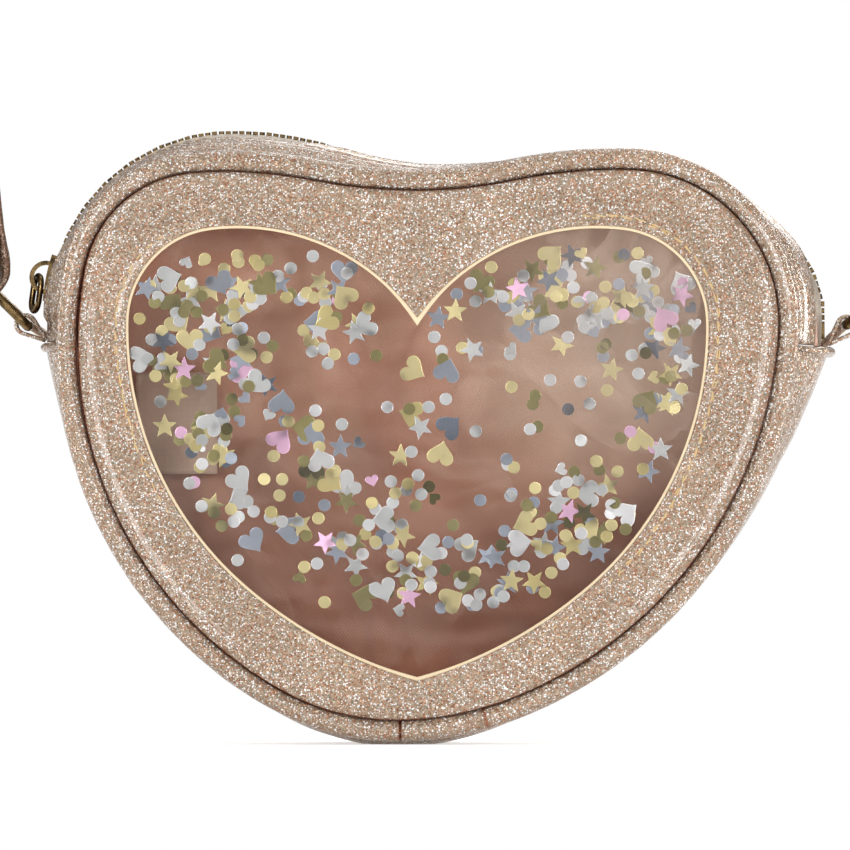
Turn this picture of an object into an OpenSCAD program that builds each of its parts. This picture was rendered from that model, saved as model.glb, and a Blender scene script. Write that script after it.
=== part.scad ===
// A child's heart shaped purse with a clear confetti window, a zip over the top and a shoulder strap.
// X runs across the purse, Y from the front to the back and Z up. It stands on its base at Z = 0.

/* [Heart outline] */
// Height of the lowest point of the front seam above the floor
tip_z = 5.9; // [4:0.1:9]
// How far the lowest point hangs left of the middle
tip_lean = 7.2; // [0:0.1:12]
// How far the dip between the lobes lies left of the middle
notch_lean = 1.4; // [0:0.1:4]
// Radius of the outline at the tip, right half
right_tip_r = 78; // [70:1:86]
// Radius of the long side, right half
right_side_r = 103; // [95:1:112]
// Radius of the shoulder, right half
right_shoulder_r = 37.5; // [33:0.5:42]
// Radius over the top of the lobe, right half
right_lobe_r = 128; // [110:1:150]
// Radius of the outline at the tip, left half
left_tip_r = 57; // [50:1:66]
// Radius of the long side, left half
left_side_r = 97; // [90:1:106]
// Radius of the shoulder, left half
left_shoulder_r = 29.3; // [26:0.1:33]
// Radius over the top of the lobe, left half
left_lobe_r = 112; // [98:1:128]

/* [Window] */
// Height of the window's point above the floor
window_tip_z = 15.6; // [13:0.1:19]
// Width of the leather beside the window where the heart is widest
border_w = 14.59; // [12:0.01:20]
// How far the window lies left of the middle
window_lean = 1.9; // [0:0.1:4]
// Radius of the window's lower side
window_low_r = 112; // [100:1:118]
// Radius of the window's long side
window_side_r = 84; // [76:1:88]
// Radius of the window's shoulder
window_shoulder_r = 23.6; // [21:0.1:25]
// Radius of the window's lobe
window_lobe_r = 54; // [48:1:60]
// Width of cream facing that shows inside the leather
facing_show = 1.1; // [0.8:0.1:2]
// How far the facing and the clear sheets reach under the leather
sheet_lap = 7; // [5:0.5:8]
// Thickness of the cream facing
facing_t = 0.6; // [0.4:0.1:1]
// Thickness of each clear sheet
sheet_t = 0.4; // [0.3:0.05:0.6]
// Space between the two clear sheets
sheet_gap = 1.5; // [1.3:0.1:2]
// Width of the rim where the two sheets are welded
weld_w = 2; // [1.5:0.1:3]

/* [Body] */
// Depth from the front panel to the back panel
purse_depth = 50; // [44:1:60]
// Thickness of the leather panels
panel_t = 1.2; // [1:0.1:1.6]
// Thickness of the gusset leather
gusset_t = 1.1; // [0.9:0.1:1.4]
// Thickness of the lining
lining_t = 0.6; // [0.4:0.05:0.8]
// Diameter of the piping
piping_d = 5; // [4.4:0.1:5.4]
// Wall of the piping's leather
piping_wall = 1; // [0.8:0.05:1.2]
// How far the gusset's highest fold stands out from the front seam
crown_rise = 11.7; // [10:0.1:13]
// How far the gusset's edge stands out from the seam
gusset_edge = 1.9; // [1.6:0.1:2.4]

/* [Zip] */
// Radius of the zip's run round the left lobe, to the outside of the teeth
track_r = 45; // [44:0.1:46]
// How far that run stands outside the seam at the left lobe's side
zip_side_reach = 8.51; // [8:0.01:9]
// How far that run stands outside the seam at the left lobe's top
zip_top_reach = 10.31; // [9.8:0.01:10.8]
// Height of the zip's two ends above the floor
zip_end_z = 98; // [95:0.5:100]
// Width of the closed row of teeth
chain_w = 5.8; // [5.4:0.1:6]
// Height of a tooth
tooth_h = 2.4; // [2.2:0.1:2.6]
// Thickness of a tooth along the zip
tooth_t = 1.3; // [1.1:0.05:1.35]
// Distance between teeth of one row
tooth_pitch = 3.3; // [3.2:0.05:3.6]
// How far a tooth reaches past the middle of the zip
tooth_lap = 0.7; // [0.5:0.05:0.9]
// Thickness of the zip's tape
tape_t = 0.8; // [0.6:0.05:0.9]
// Distance from the middle of the zip to the leather strips
strip_edge = 6; // [5.8:0.1:6.6]
// How far the tape reaches under a leather strip
tape_lap = 3.4; // [3:0.1:4]

/* [Slider] */
// Length of the slider
slider_l = 11; // [10:0.1:12]
// Width of the slider's shoulders
slider_w = 9.4; // [9.2:0.1:9.8]
// Width of the slider's narrow end
slider_tail_w = 8.2; // [8:0.1:8.6]
// Thickness of the slider's plates
plate_t = 1.1; // [1:0.05:1.2]
// Outer radius of the crown that holds the puller
crown_r = 4.1; // [4.05:0.05:4.3]
// Thickness of the crown
crown_t = 1.1; // [0.95:0.05:1.15]
// Width of the crown
crown_w = 1.2; // [1:0.1:1.3]
// Length of the puller
puller_l = 10.1; // [9:0.1:10.6]
// Width of the puller
puller_w = 6.6; // [6.2:0.1:6.7]
// Thickness of the puller's wire
puller_wire = 1.5; // [1.3:0.05:1.5]

/* [Rings and tabs] */
// Thickness of a strap ring's wire
ring_wire = 2.4; // [2:0.1:2.6]
// Inside width of a strap ring
ring_w = 15.6; // [15.2:0.1:17]
// Distance between a strap ring's two bars, centre to centre
ring_reach = 14.4; // [13.5:0.1:15.5]
// Width of a tab
tab_w = 13.6; // [12:0.1:14]
// Thickness of a tab's leather
tab_t = 1; // [0.8:0.05:1.2]
// Length of a tab's loop
tab_l = 10.4; // [10:0.1:12]

/* [Strap] */
// Width of the strap
strap_w = 13; // [11:0.1:13.6]
// Thickness of the strap
strap_t = 2; // [1.7:0.1:2.2]
// Space between turns of the rolled strap
roll_gap = 0.5; // [0.45:0.05:0.8]
// Turns of the doubled strap in the roll
roll_turns = 3; // [2:1:3]
// Radius at the middle of the roll
roll_core_r = 4.2; // [3.8:0.1:5]

/* [Hidden] */

$fn = 96;
wire_sides = 36;

// Clearances
soft_gap = 0.3;
seat_gap = 0.1;
grip_gap = 0.15;
cut_over = 1;

// Headings, in degrees, at which each half of the outline changes radius
right_headings = [0, 21.6, 86.4, 179, 191.9];
left_headings = [0, 28.7, 100.7, 176.1, 190.9];
right_radii = [right_tip_r, right_side_r, right_shoulder_r, right_lobe_r];
left_radii = [left_tip_r, left_side_r, left_shoulder_r, left_lobe_r];

// Height of the gusset's fold as shares of its highest, against the share of the half outline
right_crown_shares = [[0, 0.60], [0.06, 0.53], [0.12, 0.45], [0.23, 0.42], [0.35, 0.47], [0.45, 0.58],
    [0.50, 0.76], [0.55, 0.98], [0.60, 0.99], [0.64, 0.74], [0.68, 0.46], [0.74, 0.36], [0.83, 0.34],
    [0.91, 0.41], [1, 0.54]];
left_crown_shares = [[0, 0.60], [0.06, 0.50], [0.12, 0.43], [0.25, 0.41], [0.37, 0.43], [0.47, 0.47],
    [0.53, 0.56], [0.57, 0.56], [0.60, 0.50], [0.84, 0.87], [0.89, 0.83], [0.945, 0.66], [1, 0.54]];
crown_power = 3;

// Outline of one half, measured outward from the tip
function run_x(radii, heads) = [for (i = [0 : 3]) radii[i] * (sin(heads[i + 1]) - sin(heads[i]))]
    * [1, 1, 1, 1];
function run_z(radii, heads) = [for (i = [0 : 3]) radii[i] * (cos(heads[i]) - cos(heads[i + 1]))]
    * [1, 1, 1, 1];
right_reach = tip_lean - notch_lean;
left_reach = notch_lean - tip_lean;
right_notch_r = (right_reach - run_x(right_radii, right_headings)) / sin(right_headings[4]);
notch_rise = run_z(right_radii, right_headings) - right_notch_r * (1 + cos(right_headings[4]));
notch_z = tip_z + notch_rise;

// The left half's radii are drawn in or let out together, so that both halves meet in the dip
left_end = left_headings[4];
left_x = run_x(left_radii, left_headings);
left_z = run_z(left_radii, left_headings);
left_fit = (left_reach * (1 + cos(left_end)) + notch_rise * sin(left_end))
    / (left_x * (1 + cos(left_end)) + left_z * sin(left_end));
left_notch_r = (left_reach - left_fit * left_x) / sin(left_end);

// A leg is [centre, signed radius, heading at its start, heading at its end]
function side_dir(h) = [-sin(h), cos(h)];
function legs_from(p, h, legs, i = 0) = i >= len(legs) ? [] :
    let (c = p + legs[i][0] * side_dir(h), q = c - legs[i][0] * side_dir(legs[i][1]))
    concat([[c, legs[i][0], h, legs[i][1]]], legs_from(q, legs[i][1], legs, i + 1));
function half_legs(radii, heads, notch_r, fit, x) = legs_from([x, tip_z], 0, concat(
    [for (i = [0 : 3]) [radii[i] * fit, heads[i + 1]]], [[-notch_r, 180]]));
right_legs = half_legs(right_radii, right_headings, right_notch_r, 1, -tip_lean);
left_legs = half_legs(left_radii, left_headings, left_notch_r, left_fit, tip_lean);

// Points along legs, as [x, z, outward x, outward z, length so far]
function leg_len(g) = abs(g[1] * (g[3] - g[2])) * PI / 180;
function leg_sum(legs, n) = n == 0 ? 0 : leg_len(legs[n - 1]) + leg_sum(legs, n - 1);
function leg_point(g, t, before) = let (h = g[2] + (g[3] - g[2]) * t, p = g[0] - g[1] * side_dir(h))
    [p[0], p[1], sin(h), -cos(h), before + leg_len(g) * t];
function leg_points(legs, step) = [for (i = [0 : len(legs) - 1])
    let (n = max(2, ceil(leg_len(legs[i]) / step)), before = leg_sum(legs, i))
    for (k = [0 : n - 1]) leg_point(legs[i], k / n, before)];
function last_point(legs) = leg_point(legs[len(legs) - 1], 1, leg_sum(legs, len(legs) - 1));

station_step = 6.5;
right_half = concat(leg_points(right_legs, station_step), [last_point(right_legs)]);
left_half = leg_points(left_legs, station_step);
right_len = last_point(right_legs)[4];
left_len = last_point(left_legs)[4];

// The zip's run round the left lobe is a true arc, along which the slider travels
left_shoulder = left_legs[2][0];
shoulder_fit_r = left_shoulder_r * left_fit;
track = [track_r - shoulder_fit_r - zip_side_reach - left_shoulder[0],
    left_shoulder[1] - (track_r - shoulder_fit_r - zip_top_reach)];
track_from_rise = 6;
track_from_z = zip_end_z + track_from_rise;
track_to_share = 0.83;
function reach_to_track(p, n) = let (d = [p[0] - track[0], p[1] - track[1]], b = d * n)
    sqrt(b * b - d * d + track_r * track_r) - b;

// A station is [seam x, seam z, outward x, outward z, reach of the gusset's fold]
function right_station(s) = [s[0], s[1], s[2], s[3],
    crown_rise * lookup(s[4] / right_len, right_crown_shares)];
function left_station(s) = let (p = [-s[0], s[1]], n = [-s[2], s[3]], at = s[4] / left_len,
    on_track = p[1] > track_from_z && at < track_to_share)
    [p[0], p[1], n[0], n[1], on_track ? reach_to_track(p, n)
        : crown_rise * lookup(at, left_crown_shares)];
right_stations = [for (s = right_half) right_station(s)];
left_stations = [for (i = [len(left_half) - 1 : -1 : 0]) left_station(left_half[i])];
all_stations = concat(right_stations, left_stations);
function at_height(a, b, z) = a + (b - a) * (z - a[1]) / (b[1] - a[1]);
function crossing(list, z) = [for (i = [0 : len(list) - 2])
    if ((list[i][1] - z) * (list[i + 1][1] - z) < 0) at_height(list[i], list[i + 1], z)][0];
top_z = zip_end_z + soft_gap;
top_stations = concat([crossing(right_stations, top_z)],
    [for (s = all_stations) if (s[1] > top_z + station_step / 4) s], [crossing(left_stations, top_z)]);
low_stations = concat([crossing(left_stations, zip_end_z)],
    [for (s = left_stations) if (s[1] < zip_end_z - station_step / 4) s],
    [for (s = right_stations) if (s[1] < zip_end_z - station_step / 4) s],
    [crossing(right_stations, zip_end_z)]);

// Flat shapes
function flat_outline(legs, inset, step = 4) = [for (s = leg_points(legs, step))
    [s[0] - inset * s[2], s[1] - inset * s[3]]];
function mirrored(points) = [for (i = [len(points) - 1 : -1 : 0]) [-points[i][0], points[i][1]]];
module heart_shape(inset) {
    polygon(concat(flat_outline(right_legs, inset), mirrored(flat_outline(left_legs, inset))));
}

// Window outline: headings at which it changes radius, and where its lobe meets the middle
window_headings = [16, 40, 91, 173];
window_raw_legs = legs_from([0, 0], window_headings[0],
    [[window_low_r, window_headings[1]], [window_side_r, window_headings[2]]]);
seam_w = right_legs[2][0][0] + right_shoulder_r + left_legs[1][0][0] + left_side_r * left_fit;
window_w = seam_w - 2 * border_w;
window_fit = window_w / 2 / (window_raw_legs[1][0][0] + window_side_r);
window_radii = window_fit * [window_low_r, window_side_r, window_shoulder_r];
window_top_r = window_fit * window_lobe_r;
window_side_legs = legs_from([0, window_tip_z], window_headings[0],
    [for (i = [0 : 2]) [window_radii[i], window_headings[i + 1]]]);
window_lobe_x = window_side_legs[2][0][0] + window_radii[2] * sin(window_headings[3])
    - window_top_r * sin(window_headings[3]);
window_legs = legs_from([0, window_tip_z], window_headings[0], concat(
    [for (i = [0 : 2]) [window_radii[i], window_headings[i + 1]]],
    [[window_top_r, 180 + asin(window_lobe_x / window_top_r)]]));
window_half = leg_points(window_legs, 4);
window_notch = last_point(window_legs);
window_last = len(window_half) - 1;
function window_side(grow) = [for (i = [1 : window_last]) let (s = window_half[i])
    if (s[0] + grow * s[2] > 0) [s[0] + grow * s[2], s[1] + grow * s[3]]];
module window_shape(grow) {
    tip_drop = grow / cos(window_headings[0]);
    side = window_side(grow);
    translate([-window_lean, 0]) polygon(concat([[0, window_tip_z - tip_drop]], side,
        [[0, window_notch[1] + grow / abs(cos(window_legs[3][3]))]], mirrored(side)));
}

// Stands a flat shape upright, its face at front_y and its thickness t towards the back
module upright(front_y, t) {
    translate([0, front_y + t, 0]) rotate([90, 0, 0]) linear_extrude(t) children();
}

// Depths, from the front panel's face towards the back
front_y = -purse_depth / 2;
facing_y = front_y + panel_t;
outer_sheet_y = facing_y + facing_t;
inner_sheet_y = outer_sheet_y + sheet_t + sheet_gap;
front_lining_y = inner_sheet_y + sheet_t;
back_panel_y = purse_depth / 2 - panel_t;
back_lining_y = back_panel_y - soft_gap - lining_t;
piping_r = piping_d / 2;
piping_y = purse_depth / 2 - piping_r + seat_gap;
piping_out = piping_r + seat_gap;
gusset_half = piping_y - piping_r - soft_gap;
panel_inset = 0.2;
lining_inset = 2.4;

// Front and back panels
module front_panel() {
    color("rosybrown") upright(front_y, panel_t) difference() {
        heart_shape(panel_inset);
        window_shape(0);
    }
}
module window_facing() {
    color("moccasin") upright(facing_y, facing_t) difference() {
        window_shape(sheet_lap);
        window_shape(-facing_show);
    }
}
module window_sheet_outer() {
    color("whitesmoke", 0.3) upright(outer_sheet_y, sheet_t) window_shape(sheet_lap);
}
module window_sheet_inner() {
    color("whitesmoke", 0.3) {
        upright(inner_sheet_y, sheet_t) window_shape(sheet_lap);
        upright(inner_sheet_y - sheet_gap, sheet_gap) difference() {
            window_shape(sheet_lap);
            window_shape(sheet_lap - weld_w);
        }
    }
}
module front_lining() {
    color("burlywood") upright(front_lining_y, lining_t) difference() {
        heart_shape(lining_inset);
        window_shape(0);
    }
}
module back_panel() {
    color("rosybrown") upright(back_panel_y, panel_t) heart_shape(panel_inset);
}
module back_lining() {
    color("burlywood") upright(back_lining_y, lining_t) heart_shape(lining_inset);
}

// A bare label sewn into the lining at the left
label_w = 20;
label_h = 25;
label_t = 0.3;
label_x = -71;
label_z = 66;
module care_label() {
    color("seashell") translate([label_x, back_lining_y - seat_gap - label_t, label_z])
        cube([label_w, label_t, label_h]);
}

// Confetti between the clear sheets, each kind in its own layer
flake_t = 0.15;
round_d = 3;
star_r = 3;
star_in_share = 0.42;
flake_heart_w = 6;
round_pitch = 8.4;
star_pitch = 15;
heart_pitch = 17;
confetti_top = 118;
confetti_bottom = 30;
confetti_half = 66;
centre_clear_r = 17;
centre_clear_z = 92;
confetti_inset = 6;
clear_share = 0.35;
low_rise_share = 0.1;
row_seed = 97;
clear_seed = 31;
rounds_seed = 11;
stars_seed = 500;
hearts_seed = 900;
layer_step = (sheet_gap - flake_t) / 4;

function inside(p, poly) = len([for (i = [0 : len(poly) - 1])
    let (a = poly[i], b = poly[(i + 1) % len(poly)])
    if ((a[1] > p[1]) != (b[1] > p[1])
        && p[0] < (b[0] - a[0]) * (p[1] - a[1]) / (b[1] - a[1]) + a[0]) 1]) % 2 == 1;
confetti_side = window_side(-confetti_inset);
confetti_poly = concat([[0, window_tip_z + confetti_inset]], confetti_side,
    [[0, window_notch[1] - 2 * confetti_inset]], mirrored(confetti_side));
function sparse(p, seed) = norm([p[0], p[1] - centre_clear_z]) < centre_clear_r
    && rands(0, 1, 1, seed)[0] > clear_share;
function low_edge(x) = confetti_bottom + low_rise_share * abs(x);
function flakes(pitch, size, seed) = let (
    jitter = (pitch - size) / 2,
    cols = ceil(confetti_half / pitch),
    rows = ceil((confetti_top - confetti_bottom) / pitch))
    [for (r = [0 : rows - 1], c = [-cols : cols])
        let (s = rands(-1, 1, 3, seed + row_seed * r + c),
            p = [(c + 0.5 * (r % 2)) * pitch, confetti_bottom + r * pitch] + jitter * [s[0], s[1]])
        if (inside(p, confetti_poly) && p[1] > low_edge(p[0]) && !sparse(p, seed + clear_seed * r + c))
            [p[0] - window_lean, p[1], 180 * s[2]]];
module scatter(list, layer) {
    for (f = list) translate([f[0], outer_sheet_y + sheet_t + layer * layer_step + flake_t, f[1]])
        rotate([90, 0, 0]) rotate([0, 0, f[2]]) linear_extrude(flake_t) children();
}
module star_shape() {
    polygon([for (i = [0 : 9]) let (r = i % 2 == 0 ? star_r : star_r * star_in_share)
        r * [sin(36 * i), cos(36 * i)]]);
}
// The well known heart curve, 32 across
heart_shares = [0.5, 13 / 32, 5 / 32, 2 / 32, 1 / 32];
heart_points = 15;
module flake_heart_shape() {
    polygon([for (k = [0 : heart_points - 1]) let (a = 360 * k / heart_points)
        flake_heart_w * [heart_shares[0] * pow(sin(a), 3), heart_shares[1] * cos(a)
            - heart_shares[2] * cos(2 * a) - heart_shares[3] * cos(3 * a)
            - heart_shares[4] * cos(4 * a)]]);
}
module confetti_rounds() {
    color("palegoldenrod") scatter(flakes(round_pitch, round_d, rounds_seed), 1) circle(d = round_d);
}
module confetti_stars() {
    color("silver") scatter(flakes(star_pitch, 2 * star_r, stars_seed), 2) star_shape();
}
module confetti_hearts() {
    color("plum") scatter(flakes(heart_pitch, flake_heart_w, hearts_seed), 3) flake_heart_shape();
}

// Sweeps a closed section round the whole outline; its points are [out from the piping's middle, depth]
module hoop(y, section) {
    n = len(all_stations);
    m = len(section);
    polyhedron([for (s = all_stations, q = section) [s[0] + s[2] * (piping_out + q[0]), y + q[1],
        s[1] + s[3] * (piping_out + q[0])]],
        [for (i = [0 : n - 1], j = [0 : m - 1]) let (a = i * m + j, b = i * m + (j + 1) % m,
            c = ((i + 1) % n) * m + (j + 1) % m, d = ((i + 1) % n) * m + j)
            each [[a, b, c], [a, c, d]]], convexity = 10);
}

// Piping: a strip folded round a cord, open in a slot towards the seam
slot_deg = 160;
cover_sides = 7;
cord_sides = 6;
cord_r = (piping_r - piping_wall) * cos(slot_deg / (cover_sides - 1)) - 2 * seat_gap;
function cover_arc(r) = [for (k = [0 : cover_sides - 1])
    let (a = -slot_deg + 2 * slot_deg * k / (cover_sides - 1)) r * [cos(a), sin(a)]];
cover_inside = cover_arc(piping_r - piping_wall);
cover_section = concat(cover_arc(piping_r),
    [for (k = [cover_sides - 1 : -1 : 0]) cover_inside[k]]);
cord_section = [for (k = [0 : cord_sides - 1]) cord_r * [cos(360 * k / cord_sides),
    sin(360 * k / cord_sides)]];
module front_piping() {
    color("rosybrown") hoop(-piping_y, cover_section);
}
module back_piping() {
    color("rosybrown") hoop(piping_y, cover_section);
}
module front_piping_cord() {
    color("linen") hoop(-piping_y, cord_section);
}
module back_piping_cord() {
    color("linen") hoop(piping_y, cord_section);
}

// A closed skin over rings of equally many points
module loft(rings) {
    n = len(rings);
    m = len(rings[0]);
    polyhedron([for (r = rings, p = r) p], concat(
        [[for (j = [m - 1 : -1 : 0]) j]],
        [for (i = [0 : n - 2], j = [0 : m - 1]) let (a = i * m + j, b = i * m + (j + 1) % m)
            each [[a, b, b + m], [a, b + m, a + m]]],
        [[for (j = [0 : m - 1]) (n - 1) * m + j]]), convexity = 10);
}

// Point of a station's section at depth y and distance e out from the seam
function on_station(s, y, e) = [s[0] + s[2] * e, y, s[1] + s[3] * e];
function fold_reach(s, y) = gusset_edge
    + (s[4] - gusset_edge) * (1 - pow(abs(y) / gusset_half, crown_power));
// Where the band rests on the floor, each face under the outermost stays level
function grounded(p, z) = z > 0 ? [p[0], p[1], max(p[2], z)] : p;
function band_ring(s, depths, sink, t) = concat(
    [for (y = depths) grounded(on_station(s, y, fold_reach(s, y) - sink), sink)],
    [for (i = [len(depths) - 1 : -1 : 0])
        grounded(on_station(s, depths[i], fold_reach(s, depths[i]) - sink - t), sink + t)]);
module band(stations, depths, sink, t) {
    loft([for (s = stations) band_ring(s, depths, sink, t)]);
}

low_depths = [for (k = [-4 : 4]) gusset_half * k / 4];
lining_share = 0.97;
low_lining_depths = [for (k = [-2 : 2]) lining_share * gusset_half * k / 2];
strip_front_depths = [for (k = [0 : 3]) -gusset_half + (gusset_half - strip_edge) * k / 3];
strip_back_depths = [for (k = [3 : -1 : 0]) gusset_half - (gusset_half - strip_edge) * k / 3];
lining_sink = gusset_t + soft_gap;
tape_sink = gusset_t + soft_gap;
tape_edge = strip_edge + tape_lap;
strip_lining_sink = tape_sink + tape_t + soft_gap;

module above_floor() {
    floor_cut = 8 * purse_depth;
    difference() {
        children();
        translate([-floor_cut / 2, -floor_cut / 2, -floor_cut]) cube(floor_cut);
    }
}
module gusset_bottom() {
    color("rosybrown") above_floor() band(low_stations, low_depths, 0, gusset_t);
}
module gusset_lining() {
    color("burlywood") band(low_stations, low_lining_depths, lining_sink, lining_t);
}
module zip_strip_front() {
    color("rosybrown") band(top_stations, strip_front_depths, 0, gusset_t);
}
module zip_strip_back() {
    color("rosybrown") band(top_stations, strip_back_depths, 0, gusset_t);
}
module zip_strip_linings() {
    color("burlywood") {
        band(top_stations, strip_front_depths * lining_share, strip_lining_sink, lining_t);
        band(top_stations, strip_back_depths * lining_share, strip_lining_sink, lining_t);
    }
}

// The tape lies level beside the teeth and dips under the leather strip
chain_sink = tooth_h / 2;
bead_grip = 0.9;
bead_y = chain_w / 2 - bead_grip;
level_y = slider_w / 2 + soft_gap;
function tape_top(s, y) = abs(y) <= level_y ? s[4] - chain_sink + tape_t / 2
    : fold_reach(s, y) - tape_sink;
function tape_ring(s, depths) = concat(
    [for (y = depths) on_station(s, y, tape_top(s, y))],
    [for (i = [len(depths) - 1 : -1 : 0]) on_station(s, depths[i], tape_top(s, depths[i]) - tape_t)]);
tape_front_depths = [-tape_edge, -strip_edge, -level_y, -bead_y];
tape_back_depths = [bead_y, level_y, strip_edge, tape_edge];
module zip_tape_front() {
    color("wheat") loft([for (s = top_stations) tape_ring(s, tape_front_depths)]);
}
module zip_tape_back() {
    color("wheat") loft([for (s = top_stations) tape_ring(s, tape_back_depths)]);
}

// Slider sizes that the teeth and stops leave room for
chain_r = track_r - tooth_h / 2;
slider_from_end = 15.78;
slider_half_deg = slider_l / chain_r * 90 / PI;
post_w = 1.6;
post_l = 2;
zip_end_deg = 180 + asin((track[1] - zip_end_z) / chain_r);
slider_at = zip_end_deg - slider_from_end / chain_r * 180 / PI;
slider_to_end = (zip_end_deg - slider_at - slider_half_deg) * PI / 180 * chain_r;
teeth_from_end = slider_to_end + post_l + tooth_t;

// Teeth stand at even steps along the fold, from the right end to the slider
chain_path = [for (s = top_stations) [s[0] + s[2] * (s[4] - chain_sink),
    s[1] + s[3] * (s[4] - chain_sink)]];
chain_at = [for (i = 0, d = 0; i < len(chain_path);
    d = d + (i + 1 < len(chain_path) ? norm(chain_path[i + 1] - chain_path[i]) : 0), i = i + 1) d];
chain_len = chain_at[len(chain_at) - 1];
function seg_of(d, i = 0) = i >= len(chain_at) - 2 || chain_at[i + 1] > d ? i : seg_of(d, i + 1);
function chain_frame(d) = let (i = seg_of(d), v = (chain_path[i + 1] - chain_path[i]),
    p = chain_path[i] + v * (d - chain_at[i]) / norm(v)) [p[0], p[1], atan2(v[1], v[0])];
chain_start = 7;
tooth_count = floor((chain_len - chain_start - teeth_from_end) / tooth_pitch);
head_share = 0.62;
shoulder_share = 0.2;

// A tooth in plan: a body that grips the tape and a head that locks past the middle
module tooth(side) {
    root_y = chain_w / 2;
    translate([0, 0, -tooth_h / 2]) linear_extrude(tooth_h) polygon([
        [-tooth_t / 2, side * root_y],
        [-tooth_t / 2, -side * tooth_lap * shoulder_share],
        [-tooth_t / 2 * head_share, -side * tooth_lap],
        [tooth_t / 2 * head_share, -side * tooth_lap],
        [tooth_t / 2, -side * tooth_lap * shoulder_share],
        [tooth_t / 2, side * root_y]]);
}
module teeth_row(side, phase) {
    for (k = [0 : tooth_count - 1]) {
        f = chain_frame(chain_start + (k + phase) * tooth_pitch);
        translate([f[0], 0, f[1]]) rotate([0, -f[2], 0]) difference() {
            tooth(side);
            translate([-tooth_t, side > 0 ? bead_y - grip_gap : -chain_w, -tape_t / 2 - grip_gap])
                cube([2 * tooth_t, chain_w - bead_y + grip_gap, tape_t + 2 * grip_gap]);
        }
    }
}
module zip_teeth_front() {
    color("darkgoldenrod") teeth_row(-1, 0);
}
module zip_teeth_back() {
    color("darkgoldenrod") teeth_row(1, 0.5);
}

// A box at the zip's closed foot on the right and a pair of stops past the slider on the left
stop_l = 2.2;
foot_gap = 1;
module zip_stops() {
    color("darkgoldenrod") {
        foot = chain_frame(chain_start - stop_l - foot_gap);
        translate([foot[0], 0, foot[1]]) rotate([0, -foot[2], 0])
            cube([2 * stop_l, 2 * (bead_y - seat_gap), tooth_h], center = true);
        for (side = [-1, 1]) {
            f = chain_frame(chain_len - stop_l);
            translate([f[0], side * (bead_y - seat_gap - stop_l / 4), f[1]]) rotate([0, -f[2], 0])
                cube([stop_l, stop_l / 2, tooth_h], center = true);
        }
    }
}

// Slider, built round the track's centre and turned to its rest place
plate_gap = tooth_h / 2 + soft_gap;
slot_half = tape_t / 2 + soft_gap + seat_gap;
flange_t = 1;
shoulder_from = 0.1;
shoulder_cut = 1.3;
module at_track() {
    translate([track[0], 0, track[1]]) rotate([90, 0, 0]) children();
}
module arc_of(from, to) {
    rotate_extrude(angle = to - from, start = from) children();
}
module slider_section(side) {
    low = side > 0 ? chain_r + plate_gap : chain_r - plate_gap - plate_t;
    translate([low, -slider_w / 2]) square([plate_t, slider_w]);
    for (edge = [-1, 1]) {
        from = side > 0 ? chain_r + slot_half : chain_r - plate_gap;
        translate([from, edge > 0 ? slider_w / 2 - flange_t : -slider_w / 2])
            square([plate_gap - slot_half, flange_t]);
    }
}
module slider_plan() {
    rotate([0, 0, slider_at]) rotate([0, 90, 0]) linear_extrude(2 * track_r) polygon([
        [-slider_tail_w / 2, -slider_l / 2 - cut_over], [slider_tail_w / 2, -slider_l / 2 - cut_over],
        [slider_w / 2, shoulder_from * slider_l], [slider_w / 2, slider_l / 2 - shoulder_cut],
        [slider_w / 2 - shoulder_cut, slider_l / 2 + cut_over],
        [-slider_w / 2 + shoulder_cut, slider_l / 2 + cut_over],
        [-slider_w / 2, slider_l / 2 - shoulder_cut], [-slider_w / 2, shoulder_from * slider_l]]);
}
module slider_body() {
    post_deg = post_l / chain_r * 180 / PI;
    color("darkgoldenrod") at_track() intersection() {
        union() {
            arc_of(slider_at - slider_half_deg, slider_at + slider_half_deg) slider_section(1);
            arc_of(slider_at - slider_half_deg, slider_at + slider_half_deg) slider_section(-1);
            arc_of(slider_at + slider_half_deg - post_deg, slider_at + slider_half_deg)
                translate([chain_r - plate_gap - plate_t / 2, -post_w / 2])
                    square([2 * plate_gap + plate_t, post_w]);
        }
        slider_plan();
    }
}
plate_top_r = chain_r + plate_gap + plate_t;
module slider_crown() {
    color("darkgoldenrod") at_track() difference() {
        rotate([0, 0, slider_at]) translate([plate_top_r, 0, -crown_w / 2]) difference() {
            cylinder(r = crown_r, h = crown_w);
            translate([0, 0, -cut_over]) cylinder(r = crown_r - crown_t, h = crown_w + 2 * cut_over);
        }
        translate([0, 0, -crown_w]) cylinder(r = plate_top_r, h = 2 * crown_w);
    }
}

// Puller: an oval wire loop that hangs from the crown
puller_tilt = 8;
puller_twist = 20;
pivot_out = crown_r - crown_t - puller_wire / 2 / cos(puller_twist) - crown_w / 2 * tan(puller_twist)
    - grip_gap;
pivot = [track[0] + (plate_top_r + pivot_out) * cos(slider_at),
    track[1] + (plate_top_r + pivot_out) * sin(slider_at)];
module wire_bend(r, wire, from, turn) {
    rotate_extrude(angle = turn, start = from) translate([r, 0]) circle(wire / 2, $fn = wire_sides);
}
module oval_loop(w, l, wire) {
    bend = (w - wire) / 2;
    straight = l - wire - 2 * bend;
    translate([0, -bend, 0]) {
        wire_bend(bend, wire, 0, 180);
        translate([0, -straight, 0]) wire_bend(bend, wire, 180, 180);
        for (side = [-1, 1]) translate([side * bend, 0, 0]) rotate([90, 0, 0])
            cylinder(d = wire, h = straight, $fn = wire_sides);
    }
}
module zip_puller() {
    color("darkgoldenrod") translate([pivot[0], 0, pivot[1]]) rotate([0, puller_tilt, 0])
        rotate([0, 0, 90 + puller_twist]) rotate([90, 0, 0]) oval_loop(puller_w, puller_l, puller_wire);
}

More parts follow.
